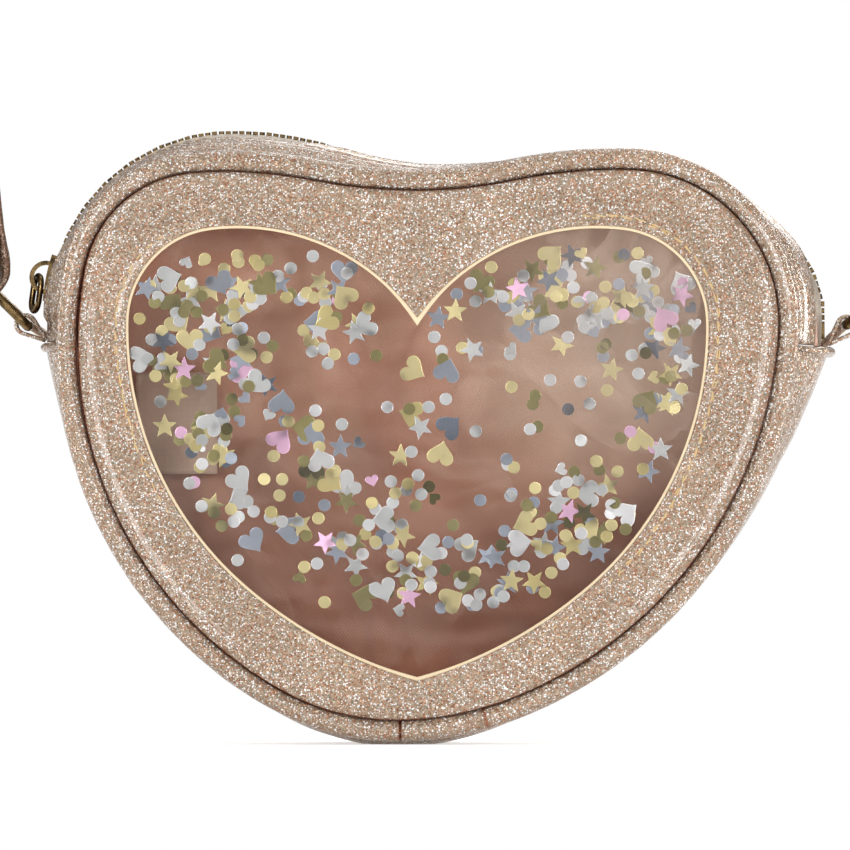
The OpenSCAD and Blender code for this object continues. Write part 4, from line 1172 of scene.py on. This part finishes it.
def make_bands():
    low = np.linspace(-GUSSET_HALF, GUSSET_HALF, 121)
    front = np.linspace(-GUSSET_HALF, -STRIP_EDGE, 47)
    back = -front[::-1]
    make_band("gusset_bottom_leather", LOW, low, 21, ["gusset_bottom"])
    make_band("zip_strip_front_leather", TOP, front, 31, ["zip_strip_front"], free_edge=STRIP_EDGE)
    make_band("zip_strip_back_leather", TOP, back, 41, ["zip_strip_back"], free_edge=STRIP_EDGE)
    low, front, back = (rows[::5] * LINING_SHARE for rows in (low, front, back))
    make_band("gusset_lining_satin", LOW, low, 51, ["gusset_lining"], LINING_SINK + 0.2)
    make_band("zip_strip_lining_front", TOP, front, 61, ["zip_strip_linings"], STRIP_LINING_SINK)
    make_band("zip_strip_lining_back", TOP, back, 71, [], STRIP_LINING_SINK)


WELT_R = 1.15
WELT_HALF = 0.90 * GUSSET_HALF
WELT_OUT = 0.15
WELT_SINK = 1.0
WELT_LUMPS, WELT_LUMPS_L = 0.22, 5
WELT_TAPER = 0.75
WELT_WIDE = 1.15
WELT_SIDES = 14


def make_welt(name, station, seed):
    """The lower band's end, rolled over where a tab comes out between it and the zip strips."""
    ys = np.linspace(-WELT_HALF, WELT_HALF, 60)
    line = beside(station, fold_reach(station[4], ys) + WELT_OUT + ROOT_SWELL, ys) + DOWN * WELT_SINK
    swell = 1 + WELT_LUMPS * ripple(line, WELT_LUMPS_L, seed) - WELT_TAPER * np.abs(ys / WELT_HALF) ** 6
    tangents = unit(np.gradient(line, axis=0))
    up = unit(-DOWN - tangents * tangents[:, 2:3])
    out = np.cross(up, tangents)
    grid = np.array([[p + WELT_R * k * (math.cos(a) * u + WELT_WIDE * math.sin(a) * o)
                      for a in circle(WELT_SIDES)] for p, k, u, o in zip(line, swell, up, out)])
    skin_piece(name, grid, "leather", TUBE)


# Beside the teeth the tape dips, most at the right end, where the slider never comes
TAPE_DIP_AT = [(-97, 0), (-80, 0.2), (-60, 0.45), (-40, 0.45), (60, 0.5), (80, 1.1), (95, 1.3)]
TEETH_HALF = 3.0
TAPE_ROWS = [BEAD_Y, 2.8, 3.2, LEVEL_Y, STRIP_EDGE, 7.5, STRIP_EDGE + TAPE_LAP]


def make_tape(node, depths):
    deep = np.abs(depths)[None, :]
    level = TOP[:, None, 4] - TOOTH_H / 2 + TAPE_T / 2
    dip = (deep > TEETH_HALF) * np.interp(TOP[:, None, 0], *zip(*TAPE_DIP_AT))
    near = fade(np.abs(deep - STRIP_EDGE), EDGE_SOFT)
    lapped = fold_reach(TOP[:, None, 4], depths[None, :]) - GUSSET_T - SOFT_GAP
    lapped = lapped - edge_drop(TOP)[:, None] * near
    reach = np.where(deep <= LEVEL_Y, level - dip, lapped)
    outer = station_grid(TOP, depths, reach)
    inner = station_grid(TOP, depths, reach - TAPE_T + 0.1)[:, ::-1]
    skin_piece(node + "_weave", np.concatenate([outer, inner], axis=1), "tape", TUBE, [node])


# Piping: its joint and a crease as (x, depth), and the rows that a joint adds, in millimetres from it.
# Bearings round its section are in degrees, from straight out
PIPING_SIDES = 40
LUMPS, FINE_LUMPS = (0.10, 9), (0.07, 4)
CREASE_BEARINGS = (235, 125)
CREASE_DEPTH = 0.16
CREASE_WIDTH = 11
# Where on the piping's section painted shade lies, and how far round it reaches
SEAM_BEARING = 180
SEAM_REACH = 11
CORNER_FULL = 0.15
JOINT_TOP = 25
JOINT_WIDTH = 0.28
JOINT_ROWS = [-1.2, -0.7, -0.45, -0.3, -0.15, 0, 0.15, 0.3, 0.45, 0.7, 1.2]
JOINTS = [(-6.1, 0.8), (14.1, 0.35)]


def with_joints(stations, joints):
    """The seam's stations with more of them where the piping has a joint."""
    at = list(range(len(stations)))
    looped = np.concatenate([stations, stations[:1]])
    for x, _ in joints:
        right = looped[:, 0] > x
        for k in np.flatnonzero((right[:-1] != right[1:]) & (looped[:-1, 1] < JOINT_TOP)):
            share = (x - looped[k, 0]) / (looped[k + 1, 0] - looped[k, 0])
            at += [(k + share + d / SEAM_STEP) % len(stations) for d in JOINT_ROWS]
    return points_at(looped, np.arange(len(looped)), np.unique(np.round(at, 4)))


def make_piping(name, node, y, seed, joints):
    """A leather tube with small puckers; at the joint its two ends butt together."""
    angles = circle(PIPING_SIDES)[None, :]
    stations = with_joints(STATIONS, joints)
    line = stand(stations, y)
    lumps = waves(line, [(*LUMPS, seed), (*FINE_LUMPS, seed + 1)])
    low_down = stations[:, 1] < JOINT_TOP
    notch = sum(low_down * deep * bump_at(stations[:, 0], x, JOINT_WIDTH) for x, deep in joints)
    full = 1 - 0.9 * np.clip(left_side(line), 0, 1)[:, None]
    fold = hill(np.degrees(angles), (CREASE_DEPTH, CREASE_BEARINGS[int(y > 0)], CREASE_WIDTH))
    corner = np.abs(np.sin(2 * angles)) * (np.cos(angles) < 0)
    r = PIPING_R * (1 + CORNER_FULL * full * corner) + (lumps - notch)[:, None] - fold
    grid = beside(stations[:, None], PIPING_OUT + r * np.cos(angles), y + r * np.sin(angles))
    piece = skin_piece(name, grid, "leather", RING, [node])
    # Painted shade on the piping's inner flank by the panel, and in its joints
    reach = SEAM_REACH * np.clip(seam_weight(line), 0.4, 3)[:, None]
    dark = bump_at(np.degrees(angles), SEAM_BEARING, reach)
    mark_seam_shade(piece, np.maximum(dark, np.clip(notch, 0, 0.9)[:, None]), (len(stations), 0))


def make_piping_cord(name, node, y):
    radius = PIPING_R - PIPING_WALL - SOFT_GAP
    angles = circle(8)[None, :]
    grid = beside(STATIONS[::3, None], PIPING_OUT + radius * np.cos(angles), y + radius * np.sin(angles))
    skin_piece(name, grid, "cord", RING, [node])


# Stitches: each thread's stitch length, gap, radius and rise
WINDOW_THREAD = {"length": 2.9, "gap": 0.6, "radius": 0.23, "rise": 0.22}
LOOSE_RIGHT = {"length": 2.4, "gap": 1.1, "radius": 0.20, "rise": 0.30}
LOOSE_LEFT = {"length": 2.6, "gap": 1.4, "radius": 0.18, "rise": 0.26}
STRIP_THREAD = {"length": 2.8, "gap": 0.8, "radius": 0.17, "rise": 0.07}
STRAP_THREAD = {"length": 2.8, "gap": 0.9, "radius": 0.17, "rise": 0.10}
END_THREAD = {"length": 2.6, "gap": 0.9, "radius": 0.17, "rise": 0.12}
BAR_THREAD = {"length": 2.3, "gap": 0.8, "radius": 0.17, "rise": 0.12}
THREAD_RINGS = 6
THREAD_SIDES = 6
THREAD_SUNK = 0.27
THREAD_LEVEL = 0.16
THREAD_END = 0.55
THREAD_BEDDED = 0.4
STITCH_SPREAD = (0.92, 1.06)
HOLE_SIZE = 0.42
HOLE_SIDES = 8
HOLE_LIFT = 0.06
HOLE_LONG, HOLE_WIDE, HOLE_BACK = 0.8, 0.6, 0.9
STRIP_STITCH_IN = 2.2
STRIP_STITCH_SINK = 0.10
STRIP_STITCH_ALONG = 0.55
STRAP_STITCH_IN = 2.1
# Where the window's stitches lie bare: about a place at the left, and right of a line, more so higher up
BARE_LEFT, BARE_LEFT_SPREAD = (-72, 92), (14, 34)
BARE_RIGHT_X = 38
BARE_RIGHT_LOW, BARE_RIGHT_OVER = 30, 30
BARE_UNEVEN = [(0.35, 8, 77)]


def thread_parts(line, out, length, gap, radius, rise, seed, wander=0.0, sunk=None):
    """Stitches along a line, and for each its end, way out, way across and heading."""
    rng = np.random.default_rng(seed)
    at = lengths_along(line)
    rings, sides = THREAD_RINGS, THREAD_SIDES
    arch = rise * np.sin(np.linspace(0, math.pi, rings)) - THREAD_BEDDED * radius
    thick = radius * np.array([THREAD_END] + [1] * (rings - 2) + [THREAD_END])
    parts, ends = [], []
    start = gap
    while start + length < at[-1]:
        long = length * rng.uniform(*STITCH_SPREAD)
        want = np.linspace(start, start + long, rings)
        p, o = points_at(line, at, want), unit(points_at(out, at, want))
        t = unit(p[-1] - p[0])
        across = np.cross(t, o)
        shift = np.linspace(*rng.normal(0, wander, 2), rings) if wander else np.zeros(rings)
        lift = arch if sunk is None else arch - np.interp(want, at, sunk)
        p = p + o * lift[:, None] + across * shift[:, None]
        verts = [p[k] + thick[k] * (math.cos(a) * across[k] + math.sin(a) * o[k])
                 for k in range(rings) for a in circle(sides)]
        faces = [(i + j, i + (j + 1) % sides, i + sides + (j + 1) % sides, i + sides + j)
                 for i in range(0, (rings - 1) * sides, sides) for j in range(sides)]
        faces += [tuple(range(sides))[::-1], tuple(range((rings - 1) * sides, rings * sides))]
        parts.append((np.array(verts), faces))
        ends.append((p[0], o[0], across[0], t))
        start += long + gap
    return parts, ends


def hole_parts(ends, size):
    """Small dark discs just before each stitch: painted shade in the needle holes."""
    return [(np.array([p + o * HOLE_LIFT - t * size * HOLE_BACK
                       + size * (HOLE_LONG * math.cos(a) * t + HOLE_WIDE * math.sin(a) * across)
                       for a in circle(HOLE_SIDES)]), [tuple(range(HOLE_SIDES))])
            for p, o, across, t in ends]


def make_window_stitches():
    loop = window_loop(STITCH_OUT)
    line = stand(loop)
    height, length, seed = FRONT_WAVES[0]
    calm = 1 - fade(STITCH_OUT, CALM_OVER)
    line[:, 1] = FRONT_Y + THREAD_LEVEL + height * calm * ripple(line, length, seed)
    line = np.concatenate([line, line[:1]])
    out = np.tile([0.0, -1.0, 0.0], (len(line), 1))
    x, z = line[:, 0], line[:, 2]
    bare_right = (x > BARE_RIGHT_X) * np.clip((z - BARE_RIGHT_LOW) / BARE_RIGHT_OVER, 0, 1)
    shown = patch(line, BARE_LEFT, BARE_LEFT_SPREAD) + bare_right
    sunk = THREAD_SUNK * (1 - np.clip(shown + waves(line, BARE_UNEVEN), 0, 1))
    parts, ends = thread_parts(line, out, **WINDOW_THREAD, seed=5, wander=0.18, sunk=sunk)
    for there, thread, seed, wander in (((x > BARE_RIGHT_X) & (z > 40), LOOSE_RIGHT, 6, 0.45),
                                        ((x < -62) & (z > 62) & (z < 118), LOOSE_LEFT, 8, 0.40)):
        there = np.flatnonzero(there)
        loose = line[there[0]:there[-1] + 1]
        parts += thread_parts(loose, out[:len(loose)], **thread, seed=seed, wander=wander)[0]
    join_piece("window_stitches", parts, "thread")
    join_piece("window_needle_holes", hole_parts(ends, HOLE_SIZE), "hole")


def make_strip_stitches():
    parts = []
    rows = TOP[2:-2]
    for sign in (-1, 1):
        y = sign * (STRIP_EDGE + STRIP_STITCH_IN)
        lowered = edge_drop(rows) * fade(STRIP_STITCH_IN, EDGE_SOFT)
        reach = fold_reach(rows[:, 4], y) - STRIP_STITCH_SINK - lowered
        line = beside(rows, reach, y)
        out = stand(rows[:, 2:4])
        along = STRIP_STITCH_ALONG * ripple(line, ALONG_L, 32 if sign < 0 else 42)
        line = line + out * along[:, None]
        parts += thread_parts(line, out, **STRIP_THREAD, seed=17 + sign)[0]
    join_piece("zip_strip_stitches", parts, "thread")


# Straps and tabs: the straps turn from the rings' bars towards the front, and back again further up
STRAP_TWIST = math.radians(50)
TWIST_FROM = -3
TWIST_OVER = 12
UNTWIST_OVER = 60


def round_section(width, thick, n=5):
    """Closed section of a flat strip with rounded edges, as (across, out)."""
    r = thick / 2
    right = [(width / 2 - r + r * math.cos(a), r * math.sin(a)) for a in np.radians(np.linspace(-90, 90, n))]
    inset = [width / 2 - 1.6, width / 2 - 2.6, 0]
    half = right + [(x, r) for x in inset] + [(-x, r) for x in inset[1::-1]]
    return half + [(-x, -y) for x, y in half]


def turned(path, first, last, twist):
    """Ways across and out at each point of a path that starts along first and ends along last."""
    tangents = np.gradient(path, axis=0)
    tangents[0], tangents[-1] = first, last
    tangents = unit(tangents)
    across = unit(np.array([0, 1.0, 0]) - tangents * tangents[:, 1:2])
    outs = np.cross(tangents, across)
    c, s = np.cos(twist)[:, None], np.sin(twist)[:, None]
    return across * c + outs * s, outs * c - across * s


def sweep(path, section, first, last, puff=0.0, seed=0, twist=None):
    """A strip of this section along a path, thicker and thinner by the share puff."""
    across, outs = turned(path, first, last, np.zeros(len(path)) if twist is None else twist)
    swell = 1 + puff * ripple(path, 16, seed)
    return np.array([[p + w * a + o * b * s for a, b in section]
                     for p, w, o, s in zip(path, across, outs, swell)])


def smooth_path(points, first, last, step=2.0):
    """A curve through the points that leaves and arrives in the given directions."""
    p = np.array(points, float)
    m = np.zeros_like(p)
    m[1:-1] = (p[2:] - p[:-2]) / 2
    m[0] = unit(first) * np.linalg.norm(p[1] - p[0])
    m[-1] = unit(last) * np.linalg.norm(p[-1] - p[-2])
    made = []
    for a, b, ma, mb in zip(p, p[1:], m, m[1:]):
        n = max(2, math.ceil(np.linalg.norm(b - a) / step))
        for t in np.linspace(0, 1, n, endpoint=False):
            made.append((2 * t ** 3 - 3 * t ** 2 + 1) * a + (t ** 3 - 2 * t ** 2 + t) * ma
                        + (3 * t ** 2 - 2 * t ** 3) * b + (t ** 3 - t ** 2) * mb)
    return np.array([*made, p[-1]])


def slanted(sign, angle):
    """The way up at this angle from level, towards the left (-1) or the right (1)."""
    return np.array([sign * math.cos(angle), 0, math.sin(angle)])


def ring_places():
    """For each side: the tab's root, the ring's bar, the strap end's top and its way up."""
    places = {}
    bar_along = TAB_L - TAB_T - RING_WIRE / 2 - SOFT_GAP
    sink = RING_WIRE / 2 + STRAP_T + SOFT_GAP
    lean = math.radians(STRAP_LEAN)
    for name, sign, station, rise, slack in (("left", -1, LOW[0], LEFT_TAB_RISE, LEFT_SLACK),
                                             ("right", 1, LOW[-1], RIGHT_TAB_RISE, 0)):
        root = beside(station, station[4] + SOFT_GAP, 0)
        along = slanted(sign, math.radians(rise))
        bow = root + (bar_along - slack) * along + RING_REACH * slanted(sign, math.radians(RING_RISE))
        up = np.array([sign * math.sin(lean), 0, math.cos(lean)])
        places[name] = {"root": root, "along": along, "bow": bow, "up": up, "sign": sign, "sink": sink,
                        "top": bow + (EYE_L - sink + DOUBLE_L) * up}
    return places


def drop_line(length, radius, thick, n=14):
    """Middle line of a strip folded in a drop, from its root round and back, as (along, across)."""
    a = math.acos(radius / (length - radius))
    r = radius - thick / 2
    arc = [(length - radius - r * math.cos(t), r * math.sin(t)) for t in np.linspace(a, 2 * math.pi - a, n)]
    start = thick / 2 * (length - radius) / radius
    flank = [(start + (arc[0][0] - start) * k / 5, 0.12 + (arc[0][1] - 0.12) * k / 5) for k in range(5)]
    return flank + arc + [(x, -y) for x, y in flank[::-1]]


def make_tab(place, node):
    radius = RING_WIRE / 2 + TAB_T + 2 * SOFT_GAP
    along = place["along"]
    across = place["sign"] * np.array([-along[2], 0, along[0]])
    path = np.array([place["root"] + along * a + across * b for a, b in drop_line(TAB_L, radius, TAB_T)])
    grid = sweep(path, round_section(TAB_W, TAB_T), path[1] - path[0], path[-1] - path[-2])
    skin_piece(node + "_leather", grid, "leather", TUBE, [node])


def twist_end(points, place):
    """Turns points of a strap's end about its long axis, from nothing at the bar."""
    up = place["up"]
    d = np.asarray(points, float) - place["bow"]
    angle = -place["sign"] * STRAP_TWIST * smooth((d @ up - TWIST_FROM) / TWIST_OVER)
    c, s = np.cos(angle)[..., None], np.sin(angle)[..., None]
    along = (d @ up)[..., None] * up
    return place["bow"] + d * c + np.cross(up, d) * s + along * (1 - c)


# The seams on a strap's end, as places up it: two along its edges and one across it
END_SEAM = (DOUBLE_L * 0.92, -7.0)
BAR_SEAM = -6.2
BAR_SEAM_HALF = 4.6
SEAM_POINTS = 12


def make_strap_end(place, node, body):
    """The strap folded round the ring's bar and sewn to itself."""
    radius = RING_WIRE / 2 + STRAP_T + EYE_SLACK
    up = place["up"]
    across = np.array([up[2], 0, -up[0]])
    start = place["bow"] + up * (EYE_L - place["sink"])
    leg = [(-DOUBLE_L + 2 * k, STRAP_T / 2 - 0.05) for k in range(6)]
    join_at = STRAP_T / math.tan(math.asin(radius / (EYE_L - radius)))
    leg.append((join_at * 0.55, STRAP_T / 2))
    loop = [q for q in drop_line(EYE_L, radius, STRAP_T, 18) if q[0] > join_at]
    line = leg + loop + [(a, -b) for a, b in leg[::-1]]
    path = np.array([start - up * a + across * b for a, b in line])
    grid = sweep(path, round_section(STRAP_W, STRAP_T), path[1] - path[0], path[-1] - path[-2], 0.05, 4)
    skin_piece(node + "_leather", twist_end(grid, place), "strap", TUBE, [node], body)
    seams = []
    edge_y = STRAP_W / 2 - STRAP_STITCH_IN
    runs = [((END_SEAM[0], y), (END_SEAM[1], y), END_THREAD, 31) for y in (-edge_y, edge_y)]
    runs.append(((BAR_SEAM, -BAR_SEAM_HALF), (BAR_SEAM, BAR_SEAM_HALF), BAR_THREAD, 33))
    for turn in (1, -1):
        face = start + across * turn * STRAP_T
        for first, last, thread, seed in runs:
            points = np.array([face + up * along + np.array([0, y, 0]) for along, y in (first, last)])
            out = np.tile(across * turn, (SEAM_POINTS, 1))
            seams += thread_parts(resample(points, SEAM_POINTS), out, **thread, seed=seed)[0]
    join_piece(node + "_stitches", [(twist_end(v, place), f) for v, f in seams], "thread", body=body)


def roll_routes():
    """The roll's own line, from where the left stretch enters to where the right one leaves."""
    turn = 360 * ROLL_TURNS

    def inner(t):
        return ROLL_CORE_R + 2 * ROLL_PITCH * t / 360

    roll_z = inner(turn - 90) + ROLL_PITCH + STRAP_T / 2 + SEAT_GAP

    def spot(t, r):
        a = math.radians(180 + turn - t)
        return (ROLL_X + r * math.cos(a), ROLL_Y, roll_z + r * math.sin(a))

    points = [spot(t, inner(t) + ROLL_PITCH) for t in np.arange(turn, -0.1, -ROLL_STEP)]
    centre = np.array(spot(0, ROLL_CORE_R + ROLL_PITCH / 2))
    points += [tuple(centre - ROLL_PITCH / 2 * slanted(1, math.radians(a))) for a in (30, 60, 90, 120, 150)]
    points += [spot(t, inner(t)) for t in np.arange(0, turn + 90.1, ROLL_STEP)]
    return np.array(points)


def strap_stitches(name, path, first, last, twist, seed):
    across, outs = turned(path, first, last, twist)
    parts = []
    for face in (-1, 1):
        for edge in (-1, 1):
            line = path + across * edge * (STRAP_W / 2 - STRAP_STITCH_IN) + outs * face * (STRAP_T / 2)
            parts += thread_parts(line, outs * face, **STRAP_THREAD, seed=seed + edge)[0]
    return join_piece(name, parts, "thread", body=None)


def make_strap(places):
    roll = roll_routes()
    section = round_section(STRAP_W, STRAP_T)
    ups, joins = {}, {}
    for name, place in places.items():
        ups[name] = place["up"]
        inner_face = place["sign"] * np.array([ups[name][2], 0, -ups[name][0]])
        joins[name] = twist_end(place["top"] + inner_face * STRAP_T / 2, place)
    left_path = smooth_path([joins["left"], *LEFT_RUN, roll[0]], ups["left"], DOWN)
    right_path = smooth_path([roll[-1], *RIGHT_RUN, joins["right"]], RIGHTWARD, -ups["right"])
    for name, path, first, last, ring in (
            ("strap_left", left_path, ups["left"], DOWN, "left_ring"),
            ("strap_right", right_path, RIGHTWARD, -ups["right"], "right_ring")):
        at = lengths_along(path)
        from_ring = at if ring == "left_ring" else at[-1] - at
        twist = STRAP_TWIST * (1 - smooth(from_ring / UNTWIST_OVER))
        grid = sweep(path, section, first, last, 0.08, 9, twist)
        band = skin_piece(name + "_leather", grid, "strap", TUBE, [name], None)
        seams = strap_stitches(name + "_stitches", path, first, last, twist, 70)
        for piece in (band, seams):
            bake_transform(piece)
    grid = sweep(roll, section, DOWN, RIGHTWARD, 0.05, 9)
    skin_piece("strap_roll_leather", grid, "strap", TUBE, ["strap_roll"])


# Metal pieces keep their solids, with softened edges of this width where there is one
METAL_EDGES = {"zip_teeth_front": 0.22, "zip_teeth_back": 0.22, "zip_stops": 0.25, "slider_body": 0.25,
               "slider_crown": 0.2, "zip_puller": 0, "left_strap_ring": 0, "right_strap_ring": 0}
BEVEL_FROM = math.radians(40)


def finish_metal():
    for node, width in METAL_EDGES.items():
        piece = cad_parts[node]
        piece.data.materials.clear()
        piece.data.materials.append(LOOKS["brass"][0])
        if width:
            bevel = piece.modifiers.new("soft_edges", "BEVEL")
            bevel.width = width * MM
            bevel.segments = 2
            bevel.limit_method = "ANGLE"
            bevel.angle_limit = BEVEL_FROM
            bevel.harden_normals = False


# Studio, in metres and watts: each lamp's place, size and power
LAMPS = {
    "key": ((-0.55, -0.95, 0.85), (0.5, 0.5), 1.8),
    "fill": ((0.85, -0.8, 0.45), (0.7, 0.7), 0.9),
    "top": ((0.0, 0.15, 1.0), (0.8, 0.6), 2.6),
    "front_left": ((-0.40, -1.25, 0.26), (0.3, 0.3), 3.9),
    "front_right": ((0.40, -1.25, 0.26), (0.3, 0.3), 3.9),
    "left_strip": ((-1.1, 0.05, 0.2), (0.08, 0.8), 5.0),
    "right_strip": ((1.1, 0.05, 0.2), (0.08, 0.8), 8.0),
    "back_rim": ((0.3, 0.9, 0.6), (0.6, 0.5), 3.0),
}
LAMPS_AIM = Vector((0, 0, 0.08))
FLOOR_HALF = 6.0
WHITE = (1, 1, 1, 1)


def make_floor():
    """A white floor that glows a little, so that it keeps the shadow and has no edge."""
    material, tree, place = bare("studio_floor")
    seen = add(tree, "LightPath").outputs["Is Camera Ray"]
    glow = add(tree, "MapRange", i0=seen, i3=0.20, i4=0.50).outputs[0]
    shader = principled(tree, Base_Color=(0.93, 0.93, 0.93, 1), Roughness=0.9, Emission_Color=WHITE,
                        Emission_Strength=glow)
    far = vectors(tree, "LENGTH", i0=place).outputs["Value"]
    white = add(tree, "Emission", Color=WHITE, Strength=1.0)
    finish(material, add(tree, "MixShader", i0=span(tree, far, 0.10, 0.24), i1=shader.outputs[0],
                         i2=white.outputs[0]))
    mesh = bpy.data.meshes.new("studio_floor")
    corners = [(x * FLOOR_HALF, y * FLOOR_HALF, 0) for x, y in ((-1, -1), (1, -1), (1, 1), (-1, 1))]
    mesh.from_pydata(corners, [], [(0, 1, 2, 3)])
    mesh.materials.append(material)
    floor = into_scene("studio_floor", mesh, (0, 0, 0), (0, 0, 0))


def make_world():
    """Soft light from all round, brighter from above; the camera itself sees white there."""
    world = bpy.data.worlds.new("studio")
    bpy.context.scene.world = world
    world.use_nodes = True
    tree = world.node_tree
    tree.nodes.clear()
    seen = add(tree, "LightPath").outputs["Is Camera Ray"]
    place = add(tree, "TexCoord").outputs["Generated"]
    height = add(tree, "SeparateXYZ", i0=place).outputs[2]
    sky = ramp(tree, height, [(0.0, (0.42, 0.42, 0.43)), (0.75, 1.0)])
    soft = add(tree, "Background", Color=sky, Strength=0.45)
    white = add(tree, "Background", Color=WHITE, Strength=1.0)
    both = add(tree, "MixShader", i0=seen, i1=soft.outputs[0], i2=white.outputs[0])
    tree.links.new(both.outputs[0], add(tree, "OutputWorld").inputs[0])


def make_lamps():
    for name, (place, size, power) in LAMPS.items():
        data = bpy.data.lights.new(name, "AREA")
        data.shape = "RECTANGLE"
        data.size, data.size_y = size
        data.energy = power
        turn = (LAMPS_AIM - Vector(place)).to_track_quat("-Z", "Y").to_euler()
        into_scene(name, data, place, turn)


# The whole purse
make_front_panel()
make_back_panel()
make_facing()
make_sheet("window_film_outer", OUTER_SHEET_Y, "window_sheet_outer", 0.5, 81)
make_sheet("window_film_inner", INNER_SHEET_Y, "window_sheet_inner", -0.3, 82)
make_confetti("confetti_round_flakes", "confetti_rounds", "confetti_gold",
              [(round_outline(ROUND_D), ROUND_COUNT)], ROUND_MIX, 3)
make_confetti("confetti_star_flakes", "confetti_stars", "confetti_silver",
              [(star_outline(STAR_R), STAR_COUNT)], SHAPE_MIX, 4)
make_confetti("confetti_heart_flakes", "confetti_hearts", "confetti_pink",
              [(heart_outline(HEART_W), HEART_COUNT), (heart_outline(SMALL_HEART_W), SMALL_HEART_COUNT)],
              SHAPE_MIX, 5)
make_back_lining()
make_front_lining()
make_label()
make_bands()
make_welt("left_fold_welt", LOW[0], 61)
make_welt("right_fold_welt", LOW[-1], 62)
make_tape("zip_tape_front", -np.array(TAPE_ROWS[::-1]))
make_tape("zip_tape_back", np.array(TAPE_ROWS))
make_piping("front_piping_leather", "front_piping", -PIPING_Y, 91, JOINTS)
make_piping("back_piping_leather", "back_piping", PIPING_Y, 95, JOINTS[:1])
make_piping_cord("front_filler_cord", "front_piping_cord", -PIPING_Y)
make_piping_cord("back_filler_cord", "back_piping_cord", PIPING_Y)
make_window_stitches()
make_strip_stitches()
PLACES = ring_places()
for side_name, place in PLACES.items():
    make_tab(place, side_name + "_tab")
for side_name, place in PLACES.items():
    make_strap_end(place, "strap_end_" + side_name, side_name + "_ring")
make_strap(PLACES)
finish_metal()
make_floor()
make_world()
make_lamps()
bpy.context.scene.view_settings.view_transform = "Standard"
